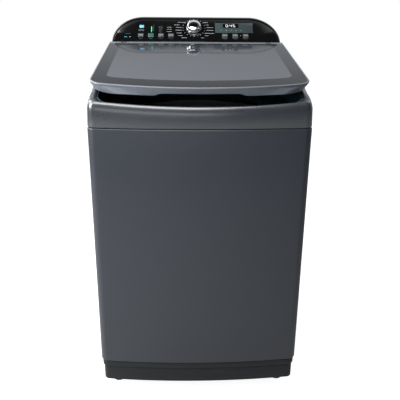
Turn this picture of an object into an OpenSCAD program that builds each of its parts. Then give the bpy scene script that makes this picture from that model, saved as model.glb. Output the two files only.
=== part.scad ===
// Top load washing machine: sheet steel cabinet, moulded top cover with a glass lid,
// sloping control console, and a suspended tub with basket, pulsator and belt drive.
// Frame: +Z up, front towards -Y, origin on the floor at the middle of the overall box.

/* [Cabinet] */
// Overall width
body_w = 600; // [520:5:720]
// Overall depth
body_d = 696; // [600:4:820]
// Bow of the front, corner to middle
front_bow = 16; // [8:1:24]
// Plan radius of the front corners
corner_r = 24; // [14:1:36]
// Cabinet sheet thickness
sheet = 1.2; // [0.8:0.1:2]
// Height of the cabinet wrap
wrap_h = 729; // [600:5:880]

/* [Base] */
// Gap under the plinth, taken up by the feet
foot_gap = 43; // [36:1:52]
// Height of the plinth
plinth_h = 71; // [60:1:86]
// Height of the lower tier of the plinth
tier_h = 49; // [36:1:52]
// Inset of each tier
tier_in = 3.5; // [2:0.5:6]
// Diameter of a foot
foot_d = 41; // [34:1:50]
// Diameter of a foot's threaded stem
stem_d = 10; // [8:1:12]
// Distance from the front to the front feet
foot_inset = 80; // [70:2:100]

/* [Top cover] */
// Height of the front rim above the cabinet
rim_h = 61; // [48:1:75]
// Width of the rim round the well
rim_w = 22; // [14:1:28]
// Wall of the moulded covers
wall = 3; // [2.5:0.5:4]
// Depth of the strip behind the well, up to the back
rear_strip = 158; // [150:2:190]

/* [Lid] */
// Slope of the closed lid
lid_slope = 7; // [6:0.2:9]
// Gap from the front rim up to the lid's lip
lid_gap = 20; // [14:1:26]
// Height of the lid's edge
lid_edge = 24; // [22:1:28]
// Thickness of the glass
glass_t = 4; // [3:0.5:5]
// Distance of the lid's front edge behind the front of the cabinet
lid_setback = 24; // [16:1:32]
// Distance of the lid's sides inside the cabinet's
lid_side = 2; // [2:0.5:12]
// Bow of the lid's front edge
lid_bow = 34; // [24:1:40]
// Plan radius of the lid's front corners
lid_corner = 52; // [36:1:56]
// Width of the handle notch
notch_w = 238; // [160:2:260]
// Diameter of a hinge pin
pin_d = 8; // [6:0.5:10]

/* [Console] */
// Height of the console's face, straight up
face_rise = 75; // [60:1:80]
// Slope of the console's face
face_deg = 42; // [38:1:48]
// Width of the console
console_w = 584; // [512:4:600]
// Width of the rounded upper corners
arch_w = 106; // [60:1:110]
// Diameter of the knob
knob_d = 52; // [44:1:58]
// Height of the knob over the face
knob_h = 20; // [14:1:24]
// Width of a push button
button_w = 20; // [14:1:24]
// Width of the power button
power_w = 16; // [12:1:24]
// Height of the power button along the face
power_h = 13; // [10:1:24]
// Travel of a push button
button_travel = 1.2; // [0.8:0.1:2]
// Display window
display_w = 133; // [100:1:140]
// Height of the display window along the face
display_h = 46; // [36:1:50]

/* [Tub and basket] */
// Outer radius of the tub
tub_r = 258; // [225:1:264]
// Height of the tub
tub_h = 550; // [450:5:560]
// Space between the tub's wall and the basket
spin_gap = 17; // [13:1:50]
// Radius of the loading mouth
mouth_r = 190; // [165:1:192]
// Wall of the tub
tub_wall = 3; // [2:0.5:5]
// Width of the balance ring
ring_w = 42; // [24:1:70]
// Wall of the basket
basket_wall = 1.2; // [0.6:0.1:2.5]
// Radius of the pulsator
pulsator_r = 176; // [150:1:185]
// Radius of a suspension rod
rod_r = 4.5; // [4:0.5:6]
// Height of a suspension spring at rest
spring_h = 90; // [70:2:110]

/* [Drive] */
// Diameter of the spin tube
tube_d = 32; // [28:1:36]
// Diameter of the pulsator shaft
shaft_d = 20; // [16:1:22]
// Radius of the driven pulley
pulley_r = 95; // [75:1:100]
// Radius of the motor pulley
motor_pulley_r = 22; // [16:1:26]
// Distance between the shafts
shaft_gap = 150; // [145:1:165]
// Radius of the motor
motor_r = 70; // [60:1:76]

/* [Fittings] */
// Radius of the 3/4 inch inlet nipples
nipple_r = 13.2; // [13:0.1:13.4]
// Bore radius of the drain outlet
drain_r = 11; // [9:0.5:13]
// Bore radius of the cord gland
gland_r = 4; // [3:0.5:5]

/* [Hidden] */
$fn = 64;

y_front = -body_d / 2;              // the front at its middle
y_back = body_d / 2;
plinth_z = foot_gap;
wrap_z = foot_gap + plinth_h;       // bottom of the wrap
seam_z = wrap_z + wrap_h;           // joint of the wrap and the top cover
rim_z = seam_z + rim_h;
fit = 0.3;                          // clearance between pieces that only lie near each other
run = 0.05;                         // running clearance of a pin or shaft, on the radius
eps = 0.01;

// Lid: a flat panel on its own sloping frame, whose X axis is the hinge.
barrel_r = 8.5;
hinge_y = y_back - 123;
lid_len = (hinge_y - y_front - lid_setback) / cos(lid_slope);
lid_front_z = rim_z + lid_gap + lid_edge;
hinge_z = lid_front_z + lid_len * sin(lid_slope) - barrel_r;
lid_w = body_w - 2 * lid_side;
lid_skin = 2;                       // rim of the frame beside the glass
lid_border = 41;                    // frame under the printed border of the glass
window_front = 69;                  // from the lid's front edge to its window
window_rear = 40;
window_corner = 36;
lip_in = 4;                         // the lip stands this far inside the lid's edge, and is as thick
well_back = y_back - rear_strip;
side_gap = 3.5;                     // from the side rim up to the lid's lip
ramp_y0 = y_front + 40;
ramp_y1 = y_front + 188;
function lip_z(y) = lid_front_z - lid_edge / cos(lid_slope) + (y - y_front - lid_setback) * tan(lid_slope);
deck_z = lip_z(hinge_y + barrel_r) - side_gap;   // top of the cover behind the well

// Console: the face starts just behind the lid's barrel.
face_y = hinge_y + barrel_r + 3;
face_z = hinge_z + barrel_r + 1;
face_len = face_rise / sin(face_deg);
face_run = face_rise / tan(face_deg);
console_z = face_z + face_rise;
panel_t = 3;
left_gap = 35;
right_gap = 36.5;
left_buttons = [for (i = [0:3]) -193 + i * left_gap];
right_buttons = [for (i = [0:2]) 100 + i * right_gap];
button_v = 27;
power_at = [-191, 68];
knob_at = [-8, 62];
display_at = [133, 63];
flange_z = -10.6;                   // underside of a button, below the face
key_z = flange_z - 2 * button_travel;   // top of the switch it presses

// Tub, basket and drive, all on one vertical axis.
tub_y = -30;
tub_z = 262;
rod_xy = 255;
lug_z = 330;
lug_t = 12;
rod_far = rod_xy * sqrt(2);         // from the tub's axis to a rod
rod_top = tub_z + tub_h;
spring_z = lug_z - spring_h;
spring_r = 15;
basket_r = tub_r - tub_wall - spin_gap;
basket_z = tub_z + 50;
basket_top = tub_z + tub_h - 16;
plate_z = tub_z - 22;
plate_t = 6;
tube_r = tube_d / 2;
shaft_r = shaft_d / 2;
bearing_r = tube_r + 12;
gear_z = plate_z - 62;
neck_top = tub_z + 38;
pulley_z = gear_z - 58;
pulley_t = 20;
belt_t = 5;
drain_xy = [-150, tub_y];
hose_r = 18;
stub_r = 14;
socket = 0.4;                       // clearance of the hose on its stubs
outlet_z = wrap_z - 29;

function arc(cx, cy, r, a0, a1, n) =
    [for (i = [0:n]) let (a = a0 + (a1 - a0) * i / n) [cx + r * cos(a), cy + r * sin(a)]];

// Plan outline with a bowed front and round front corners, from yf at the front to yb at the back.
function plan(w, yf, yb, bow, r) =
    let (cx = w / 2 - r, big = (cx * cx + bow * bow) / (2 * bow), by = yf + big,
        cy = by - sqrt(pow(big - r, 2) - cx * cx), t = atan2(cx, by - cy))
    concat(arc(-cx, cy, r, 180, 270 - t, 6), arc(0, by, big, 270 - 0.9 * t, 270 + 0.9 * t, 18),
        arc(cx, cy, r, 270 + t, 360, 6), [[w / 2, yb], [-w / 2, yb]]);

module plan_slab(inset, z0, z1, yb = y_back)
    translate([0, 0, z0]) linear_extrude(z1 - z0)
        polygon(plan(body_w - 2 * inset, y_front + inset, yb - inset, front_bow, max(corner_r - inset, 4)));

module box(x0, x1, y0, y1, z0, z1) translate([x0, y0, z0]) cube([x1 - x0, y1 - y0, z1 - z0]);

module ring(r1, r0, z0, z1) translate([0, 0, z0]) difference() {
    cylinder(r = r1, h = z1 - z0);
    translate([0, 0, -1]) cylinder(r = r0, h = z1 - z0 + 2);
}

module along_x(points, x0, x1)
    translate([x0, 0, 0]) rotate([90, 0, 90]) linear_extrude(x1 - x0) polygon(points);

module lid_frame_of_reference() translate([0, hinge_y, hinge_z]) rotate([lid_slope, 0, 0]) children();

// u across, v up the face, w out of the face
module on_face(at)
    translate([0, face_y, face_z]) rotate([face_deg, 0, 0]) translate([at[0], at[1], 0]) children();

module corners() for (sx = [-1, 1]) for (sy = [-1, 1])
    translate([sx * rod_xy, tub_y + sy * rod_xy, 0]) children();

module tub_axis() translate([0, tub_y, 0]) children();

// ---------------------------------------------------------------- cabinet and base

flange = 22;                        // turned-in edges of the wrap
module cabinet_wrap() color([0.24, 0.26, 0.29]) {
    difference() {
        plan_slab(0, wrap_z, seam_z, y_back - sheet);
        plan_slab(sheet, wrap_z + sheet, seam_z + 1, y_back + 30);
        box(-body_w / 2 + flange, body_w / 2 - flange, y_front + flange, y_back + 1,
            wrap_z - 1, wrap_z + sheet + 1);
    }
    for (s = [-1, 1]) scale_x(s) box(body_w / 2 - flange, body_w / 2 - sheet + eps,
        y_back - 2 * sheet, y_back - sheet, wrap_z + sheet, seam_z);
}

module scale_x(s) mirror([s < 0 ? 1 : 0, 0, 0]) children();

module rear_panel() color([0.62, 0.64, 0.66]) difference() {
    box(-body_w / 2, body_w / 2, y_back - sheet, y_back, wrap_z, seam_z);
    for (z = [wrap_z + 120 : 90 : seam_z - 90]) for (x = [-120 : 30 : 120])
        box(x - 3, x + 3, y_back - 3, y_back + 1, z, z + 50);
}

shield_in = 60;                     // the shield's edges, from the sides and from front and back
shield_front = 100;
foot_in = 45;                       // feet, from the sides
module base_frame() color([0.17, 0.19, 0.22]) {
    difference() {
        union() {
            plan_slab(2 * tier_in, plinth_z, plinth_z + tier_h, y_back);
            plan_slab(tier_in, plinth_z + tier_h - eps, wrap_z, y_back);
        }
        plan_slab(2 * tier_in + wall, plinth_z + wall, wrap_z + 1, y_back);
        box(-body_w / 2 + shield_in + 10, body_w / 2 - shield_in - 10, y_front + shield_front + 10,
            y_back - shield_front - 10, plinth_z - 1, plinth_z + wall + 1);
        feet_places() translate([0, 0, plinth_z - 1]) cylinder(r = stem_d / 2 + run, h = 60);
        translate([drain_xy[0], y_back, outlet_z]) rotate([90, 0, 0]) cylinder(r = hose_r, h = 30);
    }
    feet_places() ring(14, stem_d / 2 + run, plinth_z + wall - eps, plinth_z + 42);
}

module feet_places() {
    for (sx = [-1, 1]) for (y = [y_front + foot_inset, y_back - foot_inset])
        translate([sx * (body_w / 2 - foot_in), y, 0]) children();
}

module bottom_shield() color([0.14, 0.15, 0.17]) difference() {
    box(-body_w / 2 + shield_in, body_w / 2 - shield_in, y_front + shield_front, y_back - shield_front,
        plinth_z + wall, plinth_z + 2 * wall);
    for (x = [-150 : 50 : 150]) for (y = [-150 : 60 : 150])
        box(x - 15, x + 15, y - 5, y + 5, plinth_z, plinth_z + 20);
}

module foot() {
    cylinder(r1 = foot_d / 2, r2 = foot_d / 2 - 2, h = 14);
    translate([0, 0, 14 - eps]) cylinder(r = foot_d / 2 - 2, h = foot_gap - 22 + eps);
    translate([0, 0, foot_gap - 8 - eps]) cylinder(r = 13, h = 7, $fn = 6);
    cylinder(r = stem_d / 2, h = foot_gap + 36);
}

module front_foot_left() color([0.06, 0.06, 0.07])
    translate([-body_w / 2 + foot_in, y_front + foot_inset, 0]) foot();

module front_foot_right() color([0.06, 0.06, 0.07])
    translate([body_w / 2 - foot_in, y_front + foot_inset, 0]) foot();

module rear_feet() color([0.06, 0.06, 0.07])
    for (sx = [-1, 1]) translate([sx * (body_w / 2 - foot_in), y_back - foot_inset, 0]) foot();

// ---------------------------------------------------------------- top cover, deck and lid

// Side outline of the cover: front rim, ramp, then parallel to the lid, lowered by drop
function cover_side(drop) = [[y_front - 1, seam_z - 40], [y_front - 1, rim_z - drop], [ramp_y0, rim_z - drop],
    [ramp_y1, lip_z(ramp_y1) - side_gap - drop], [hinge_y + barrel_r, deck_z - drop],
    [y_back + 1, deck_z - drop], [y_back + 1, seam_z - 40]];

module cover_body(inset, drop, z0) intersection() {
    plan_slab(inset, z0, deck_z + 10);
    along_x(cover_side(drop), -body_w / 2 - 1, body_w / 2 + 1);
}

module well_slab(inset, z0, z1) translate([0, 0, z0]) linear_extrude(z1 - z0)
    polygon(plan(body_w - 2 * (rim_w + inset), y_front + rim_w + inset, well_back - inset, front_bow,
        max(corner_r + 6 - inset, 4)));

module top_cover() color([0.28, 0.30, 0.34]) {
    difference() {
        cover_body(0, 0, seam_z);
        cover_body(wall, wall, seam_z - 1);
        well_slab(0, seam_z - 2, deck_z + 20);
        inlet_pocket();
        striker_slot(lock_z - 5, deck_z + 20);
        translate([gland_x, y_back + 1, gland_z]) rotate([90, 0, 0]) cylinder(r = gland_body, h = wall + 2);
        bumper_places() cylinder(r = bumper_r + 0.1, h = 40, center = true);
        for (x = [-260, 260]) translate([x, y_back - 40, deck_z - 10]) cylinder(r = 2, h = 20);
    }
    well_back_wall();
    inlet_pocket_walls();
    for (s = [-1, 1]) scale_x(s) hinge_ear();
}

module well_back_wall() difference() {
    intersection() {
        box(-body_w / 2 + 1, body_w / 2 - 1, well_back, well_back + wall, seam_z + 10, deck_z);
        cover_body(wall / 2, wall / 2, seam_z);
    }
    box(-112, 112, well_back - 1, well_back + wall + 1, drawer_z - wall - fit, drawer_z + drawer_h + fit);
}

ear_x = body_w / 2 - 60;
ear_t = 16;
module hinge_ear() translate([ear_x, 0, 0]) difference() {
    union() {
        translate([0, hinge_y, hinge_z]) rotate([0, 90, 0]) cylinder(r = barrel_r - 0.5, h = ear_t);
        box(0, ear_t, hinge_y - barrel_r + 2, hinge_y + barrel_r - 2, deck_z - 2 * wall, hinge_z);
    }
    translate([-1, hinge_y, hinge_z]) rotate([0, 90, 0]) cylinder(r = pin_d / 2 + run, h = ear_t + 2);
}

collar = 2;                         // shoulder of a nipple beyond its thread
pocket_x = [118, 238];
pocket_z = [seam_z + 62, seam_z + 122];
pocket_d = 44;                      // depth of the pocket
module inlet_pocket() box(pocket_x[0], pocket_x[1], y_back - pocket_d, y_back + 1, pocket_z[0], pocket_z[1]);
module inlet_pocket_walls() difference() {
    box(pocket_x[0] - wall, pocket_x[1] + wall, y_back - pocket_d - wall, y_back - wall / 2,
        pocket_z[0] - wall, pocket_z[1] + wall);
    inlet_pocket();
    valve_places() rotate([90, 0, 0]) cylinder(r = nipple_r + collar + fit, h = 80, center = true);
}
module valve_places() for (x = [pocket_x[0] + 30, pocket_x[1] - 30])
    translate([x, y_back - pocket_d, (pocket_z[0] + pocket_z[1]) / 2]) children();

module inner_deck() color([0.05, 0.06, 0.07]) {
    difference() {
        intersection() {
            well_slab(fit, seam_z + 16, deck_z);
            along_x(cover_side(1.5), -body_w / 2, body_w / 2);
        }
        well_slab(fit + 2.5, seam_z + 19, deck_z + 10);
        translate([0, tub_y, seam_z]) cylinder(r = mouth_r + 16, h = 40);
        box(-116, 116, well_back - 10, well_back + 1, drawer_z - wall - 16, deck_z);
    }
    tub_axis() rotate_extrude($fn = 96) polygon([[mouth_r, seam_z + 3], [mouth_r + 3, seam_z + 3],
        [mouth_r + 19, seam_z + 17], [mouth_r + 19, seam_z + 19], [mouth_r + 13, seam_z + 19]]);
}

lock_w = 6.2;                       // half width of the lock
striker_x = min(lid_w / 2 - lip_in - lip_in / 2, body_w / 2 - wall - lock_w - fit);   // under the right lip
striker_y = 0;
striker_w = 3.6;                    // half width of the striker
slot_front = 13;                    // room for the striker to swing forward
slot_rear = 5;
lock_front = slot_front + 3;
lock_rear = 28;
bolt_w = 2;                         // half width of the bolt
lock_z = lip_z(striker_y - lock_front) - side_gap - wall * 1.01 - fit;
module striker_slot(z0, z1)
    box(striker_x - striker_w - 0.8, striker_x + striker_w + 0.8,
        striker_y - slot_front, striker_y + slot_rear, z0, z1);

module lid_outline(inset, z0, z1) translate([0, 0, z0]) linear_extrude(z1 - z0)
    polygon(plan(lid_w - 2 * inset, -lid_len + inset, -inset, lid_bow, lid_corner - inset));

module lid_window(z0, z1) translate([0, 0, z0]) linear_extrude(z1 - z0)
    polygon(plan(lid_w - 2 * lid_border, -lid_len + window_front, -window_rear, lid_bow, window_corner));

notch_h = 6;
module lid_frame() color([0.28, 0.30, 0.34]) lid_frame_of_reference() difference() {
    union() {
        difference() {
            lid_outline(0, barrel_r - 16, barrel_r - 1);
            lid_outline(lid_skin, barrel_r - glass_t, barrel_r + 1);
            lid_outline(6, barrel_r - 30, barrel_r - glass_t - 6);
        }
        difference() {
            lid_outline(lip_in, barrel_r - lid_edge, barrel_r - 12);
            lid_outline(2 * lip_in, barrel_r - 40, barrel_r);
            box(-lid_w, lid_w, -60, 10, -60, 60);
        }
        translate([-ear_x + 1, 0, 0]) rotate([0, 90, 0]) cylinder(r = barrel_r, h = 2 * ear_x - 2);
        for (s = [-1, 1]) scale_x(s) translate([ear_x + ear_t + 1, 0, 0]) rotate([0, 90, 0])
            cylinder(r = barrel_r, h = lid_w / 2 - ear_x - ear_t - 3);
    }
    lid_outline(lid_skin, barrel_r - glass_t, barrel_r + 1);
    lid_window(-20, 20);
    box(-notch_w / 2, notch_w / 2, -lid_len - 10, -lid_len + 60,
        barrel_r - lid_edge - 1, barrel_r - lid_edge + notch_h);
    for (s = [-1, 1]) scale_x(s) {
        box(ear_x - 1, ear_x + ear_t + 1, -barrel_r - 12, barrel_r + 5, -60, 60);
        translate([ear_x - 14, 0, 0]) rotate([0, 90, 0]) cylinder(r = pin_d / 2 + 0.02, h = 44);
    }
    box(-lid_w, lid_w, barrel_r + eps, 60, -60, 60);
}

module lid_glass() color([0.42, 0.44, 0.47]) lid_frame_of_reference() difference() {
    lid_outline(lid_skin + fit, barrel_r - glass_t, barrel_r - 0.2);
    box(-lid_w, lid_w, -barrel_r - 14, 60, -60, 60);
}

module lid_striker() color([0.8, 0.8, 0.82]) difference() {
    box(striker_x - striker_w, striker_x + striker_w, striker_y - 1.5, striker_y + 1.5,
        lock_z - 13, deck_z + 20);
    box(striker_x - bolt_w - fit, striker_x + bolt_w + fit, striker_y - 3, striker_y + 3,
        lock_z - 10, lock_z - 3);
    lid_frame_of_reference() lid_outline(-5, barrel_r - lid_edge - eps, 60);
}

module hinge_pins() color([0.75, 0.76, 0.78]) for (s = [-1, 1]) scale_x(s)
    translate([ear_x - 13, hinge_y, hinge_z]) rotate([0, 90, 0]) cylinder(r = pin_d / 2, h = 42);

bumper_r = 3.9;
module bumper_places() for (s = [-1, 1]) for (y = [-90, 120])
    translate([s * (lid_w / 2 - 1.5 * lip_in), y, lip_z(y) - side_gap]) children();
module lid_bumpers() color([0.08, 0.08, 0.08]) bumper_places() {
    translate([0, 0, -8]) cylinder(r = bumper_r, h = 9);
    translate([0, 0, 0.8]) cylinder(r = bumper_r + 1.1, h = side_gap - 2);
}

module lid_lock() color([0.1, 0.1, 0.1]) difference() {
    box(striker_x - lock_w, striker_x + lock_w, striker_y - lock_front, striker_y + lock_rear,
        lock_z - 18, lock_z);
    striker_slot(lock_z - 16, lock_z + 1);
    box(striker_x - bolt_w - 0.2, striker_x + bolt_w + 0.2, striker_y - 8, striker_y + lock_rear - 2,
        lock_z - 9.2, lock_z - 3.8);
}

module lock_bolt() color([0.85, 0.85, 0.8])
    box(striker_x - bolt_w, striker_x + bolt_w, striker_y + 4, striker_y + 24, lock_z - 9, lock_z - 4);

// ---------------------------------------------------------------- console

function console_side(inset) = [[face_y + inset, deck_z + inset], [face_y + inset, face_z],
    [face_y + face_run + inset * 0.6, console_z - inset], [y_back - inset, console_z - inset],
    [y_back - inset, deck_z + inset]];

module console_arch(inset, y0, y1) translate([0, y1, 0]) rotate([90, 0, 0]) linear_extrude(y1 - y0)
    polygon(concat([[-console_w / 2 + inset, deck_z + inset]],
        [for (i = [0:12]) let (a = 180 - i * 7.5) [-console_w / 2 + inset + arch_w * (1 + cos(a)),
            console_z - inset - face_rise * (1 - sin(a))]],
        [for (i = [0:12]) let (a = 90 - i * 7.5) [console_w / 2 - inset - arch_w * (1 - cos(a)),
            console_z - inset - face_rise * (1 - sin(a))]],
        [[console_w / 2 - inset, deck_z + inset]]));

module console_body(inset) intersection() {
    along_x(console_side(inset), -console_w / 2, console_w / 2);
    console_arch(inset, face_y - 5, y_back + 5);
}

left_h = button_w - 2;
right_h = button_w + 2;
right_v = button_v - 2;
under = 2.5;                        // the housing lies this far below the panel's back
module face_cuts(grow) {
    for (x = left_buttons) on_face([x, button_v])
        cube([button_w + 2 * grow, left_h + 2 * grow, 30], center = true);
    for (x = right_buttons) on_face([x, right_v])
        cube([button_w + 2 * grow, right_h + 2 * grow, 30], center = true);
    on_face(power_at) cube([power_w + 2 * grow, power_h + 2 * grow, 30], center = true);
}

module console_housing() color([0.08, 0.075, 0.075]) difference() {
    console_body(0);
    difference() {
        console_body(wall);
        on_face([0, 0]) box(-console_w, console_w, -200, 200, -panel_t - under, 60);
    }
    on_face([0, 0]) box(-console_w, console_w, 0, face_len * 2, -panel_t, 60);
    face_cuts(2);
    on_face(knob_at) cylinder(r = 7, h = 40, center = true);
    on_face(display_at) cube([display_w - 8, display_h - 8, 60], center = true);
}

module console_panel() color([0.06, 0.055, 0.055]) difference() {
    intersection() {
        console_body(0);
        on_face([0, 0]) box(-console_w, console_w, 0, face_len * 2, -panel_t, 60);
    }
    face_cuts(fit);
    on_face(knob_at) cylinder(r = 5, h = 40, center = true);
    on_face(display_at) translate([0, 0, panel_t])
        cube([display_w + 0.2, display_h + 0.2, 2 * panel_t + 3], center = true);
}

module display_window() color([0.31, 0.36, 0.36])
    on_face(display_at) translate([0, 0, -0.85]) cube([display_w, display_h, 1.3], center = true);

board_z = -19.4;                    // face of the board, below the console's face
module control_board() color([0.05, 0.3, 0.15]) on_face([0, 0]) {
    box(-225, 225, 6, 84, board_z - 1.6, board_z);
    for (x = concat(left_buttons, right_buttons))
        box(x - 4, x + 4, button_v - 4, button_v + 4, board_z, key_z);
    box(power_at[0] - 4, power_at[0] + 4, power_at[1] - 4, power_at[1] + 4, board_z, key_z);
    for (x = [-215, 215]) box(x - 4, x + 4, 8, 14, board_z, -panel_t - under);
}

spindle_r = 4;
spindle_up = 14;                    // the spindle's end, above the face
module knob() color([0.1, 0.1, 0.1]) on_face(knob_at) translate([0, 0, 0.6]) {
    rotate_extrude($fn = 96) polygon([[spindle_r, 0], [knob_d / 2, 0], [knob_d / 2, 3],
        [knob_d / 2 - 3, knob_h - 5], [knob_d / 2 - 6, knob_h - 0.6], [0, knob_h - 0.6],
        [0, spindle_up], [spindle_r, spindle_up]]);
}
module knob_spindle() color([0.7, 0.7, 0.72]) on_face(knob_at) translate([0, 0, -18]) {
    cylinder(r = spindle_r - run, h = 18 + spindle_up);
    cylinder(r = 11, h = 11);
}

module button(at, w, h) color([0.2, 0.21, 0.22]) on_face(at) {
    translate([0, 0, -3.6]) cube([w, h, 9.2], center = true);
    translate([0, 0, flange_z + 1.2]) cube([w + 3, h + 3, 2.4], center = true);
}
module button_1() button([left_buttons[0], button_v], button_w, left_h);
module button_2() button([left_buttons[1], button_v], button_w, left_h);
module button_3() button([left_buttons[2], button_v], button_w, left_h);
module button_4() button([left_buttons[3], button_v], button_w, left_h);
module button_5() button([right_buttons[0], right_v], button_w, right_h);
module button_6() button([right_buttons[1], right_v], button_w, right_h);
module button_7() button([right_buttons[2], right_v], button_w, right_h);
module power_button() button(power_at, power_w, power_h);

// ---------------------------------------------------------------- water and power fittings

module inlet_valves() color([0.85, 0.86, 0.88]) valve_places() {
    difference() {
        rotate([90, 0, 0]) union() {
            translate([0, 0, -40]) cylinder(r = nipple_r, h = 39);
            translate([0, 0, -1.5]) cylinder(r = nipple_r - 1.2, h = 2);
            cylinder(r = nipple_r + collar, h = wall + 4);
        }
        rotate([90, 0, 0]) translate([0, 0, -41]) cylinder(r = 9, h = 36);
    }
    box(-20, 20, -wall - 44, -wall - fit, -22, 22);
    translate([0, -wall - 24, 22 - eps]) cylinder(r = 12, h = 16);
}

drawer_z = seam_z + 66;
drawer_out = 12;
drawer_h = 52;                      // height of its housing
drawer_w = 106;                     // half width of the drawer
module dispenser_housing() color([0.75, 0.77, 0.8]) difference() {
    box(-drawer_w - 4, drawer_w + 4, well_back - 2, well_back + 118, drawer_z - wall, drawer_z + drawer_h);
    box(-drawer_w - 1, drawer_w + 1, well_back - 3, well_back + 115, drawer_z, drawer_z + drawer_h - wall);
    box(-80, 80, well_back + 6, well_back + 60, drawer_z - wall - 1, drawer_z + 1);
}
module detergent_drawer() color([0.8, 0.82, 0.85]) {
    difference() {
        box(-drawer_w, drawer_w, well_back - 1, well_back + 108, drawer_z + fit, drawer_z + 44);
        box(-104, -2, well_back + 2, well_back + 106, drawer_z + 2.5, drawer_z + 60);
        box(2, 104, well_back + 2, well_back + 106, drawer_z + 2.5, drawer_z + 60);
        for (x = [-53, 53]) translate([x, well_back + 40, drawer_z - 1]) cylinder(r = 12, h = 6);
    }
    difference() {
        box(-108, 108, well_back - drawer_out, well_back - 3, drawer_z, drawer_z + 48);
        box(-40, 40, well_back - drawer_out - 1, well_back - 6, drawer_z - 1, drawer_z + 14);
    }
    box(-104, 104, well_back - 3 - eps, well_back - 1 + eps, drawer_z + 3, drawer_z + 44);
}

module pressure_switch() color([0.9, 0.9, 0.85])
translate([-200, y_back - wall, seam_z + 92]) rotate([90, 0, 0]) {
    cylinder(r = 26, h = 16);
    translate([0, 0, 16 - eps]) cylinder(r = 14, h = 12);
    translate([0, 0, 28 - 2 * eps]) cylinder(r = 3, h = 12);
}

gland_x = -230;
gland_z = seam_z + 30;
gland_body = 9;
module cord_gland() color([0.07, 0.07, 0.07])
translate([gland_x, y_back, gland_z]) rotate([90, 0, 0]) difference() {
    union() {
        cylinder(r = gland_body - run, h = wall);
        translate([0, 0, wall]) cylinder(r = gland_body + 4, h = 9);
    }
    translate([0, 0, -1]) cylinder(r = gland_r, h = 20);
}

module hose_path(r) {
    translate([drain_xy[0], drain_xy[1], outlet_z]) {
        cylinder(r = r, h = 74);
        sphere(r = r);
        rotate([-90, 0, 0]) cylinder(r = r, h = y_back - 60 - drain_xy[1]);
    }
}
module drain_hose() color([0.3, 0.3, 0.32]) difference() {
    hose_path(hose_r);
    hose_path(stub_r + socket);
    translate([drain_xy[0], drain_xy[1], outlet_z + 60]) cylinder(r = stub_r + socket, h = 20);
    translate([drain_xy[0], y_back - 70, outlet_z]) rotate([-90, 0, 0]) cylinder(r = stub_r + socket, h = 20);
}
module drain_outlet() color([0.15, 0.15, 0.16])
    translate([drain_xy[0], y_back, outlet_z]) rotate([90, 0, 0]) difference() {
        union() {
            cylinder(r = stub_r, h = 90);
            translate([0, 0, 2 * tier_in + wall]) cylinder(r = hose_r + 6, h = 4);
            cylinder(r = hose_r - 0.2, h = 2 * tier_in + wall + 1);
        }
        translate([0, 0, -1]) cylinder(r = drain_r, h = 100);
    }

// ---------------------------------------------------------------- suspension

module corner_brackets() color([0.6, 0.62, 0.64]) for (sx = [-1, 1]) for (sy = [-1, 1]) difference() {
    union() {
        bracket_plate(sx, sy, rod_top - 6, rod_top - 3);
        difference() {
            bracket_plate(sx, sy, rod_top - 30, rod_top - 3);
            box(-bracket_x + 3, bracket_x - 3, -body_d, body_d, 0, rod_top);
        }
    }
    translate([sx * rod_xy, tub_y + sy * rod_xy, 0]) cylinder(r = rod_r + 0.6, h = 2000);
}
bracket_x = body_w / 2 - sheet;
module bracket_plate(sx, sy, z0, z1) let (y = tub_y + sy * (rod_xy - 10)) scale_x(sx)
    box(rod_xy - 22, bracket_x, y - 22, y + 22, z0, z1);

module suspension_rods() color([0.7, 0.72, 0.75]) corners() {
    translate([0, 0, spring_z - 16]) cylinder(r = rod_r, h = rod_top + 6 - spring_z + 16);
    translate([0, 0, rod_top - 3]) cylinder(r1 = rod_r + 0.4, r2 = 12, h = 8);
    translate([0, 0, spring_z - 14]) cylinder(r = 9, h = 7, $fn = 6);
}
module spring_cups() color([0.15, 0.15, 0.16]) corners() difference() {
    translate([0, 0, spring_z - 7]) cylinder(r = spring_r + 3, h = 7);
    cylinder(r = rod_r + run, h = 1000);
}
module suspension_springs() color([0.75, 0.76, 0.78]) corners()
    ring(spring_r, spring_r - 4, spring_z, lug_z);

module outer_tub() color([0.8, 0.82, 0.84]) tub_axis() difference() {
    translate([0, 0, tub_z]) cylinder(r = tub_r, h = tub_h, $fn = 128);
    translate([0, 0, tub_z - 1]) cylinder(r = tub_r - tub_wall, h = tub_h + 2, $fn = 128);
}

module tub_floor() color([0.8, 0.82, 0.84]) tub_axis() difference() {
    union() {
        translate([0, 0, tub_z]) cylinder(r = tub_r - tub_wall, h = tub_wall + 1, $fn = 128);
        for (x = [-150, 150]) for (y = [-90, 90])
            translate([x, y, plate_z + plate_t]) cylinder(r = 12, h = tub_z - plate_z - plate_t + 1);
    }
    cylinder(r = bearing_r + 4 + fit, h = 800);
    translate([drain_xy[0], drain_xy[1] - tub_y, 0]) cylinder(r = 18, h = 400);
}

module tub_lugs() color([0.8, 0.82, 0.84]) tub_axis() difference() {
    for (a = [45 : 90 : 315]) rotate([0, 0, a]) {
        box(tub_r - 8, rod_far, -24, 24, lug_z, lug_z + lug_t);
        translate([rod_far, 0, lug_z]) cylinder(r = 24, h = lug_t);
        box(tub_r - 8, tub_r + 60, -4, 4, lug_z + lug_t - eps, lug_z + 90);
    }
    translate([0, 0, tub_z]) cylinder(r = tub_r, h = tub_h, $fn = 128);
    for (a = [45 : 90 : 315]) rotate([0, 0, a])
        translate([rod_far, 0, 0]) cylinder(r = rod_r + 1, h = 800);
}

module tub_cover() color([0.85, 0.87, 0.88]) tub_axis() rotate_extrude($fn = 128) polygon([
    [tub_r + 0.3, rod_top - 8], [tub_r + 3, rod_top - 8], [tub_r + 3, rod_top + 3],
    [mouth_r + 12, rod_top + 12], [mouth_r + 12, rod_top + 9], [tub_r - 8, rod_top], [tub_r + 0.3, rod_top]]);

// ---------------------------------------------------------------- drive, carried under the tub

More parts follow.
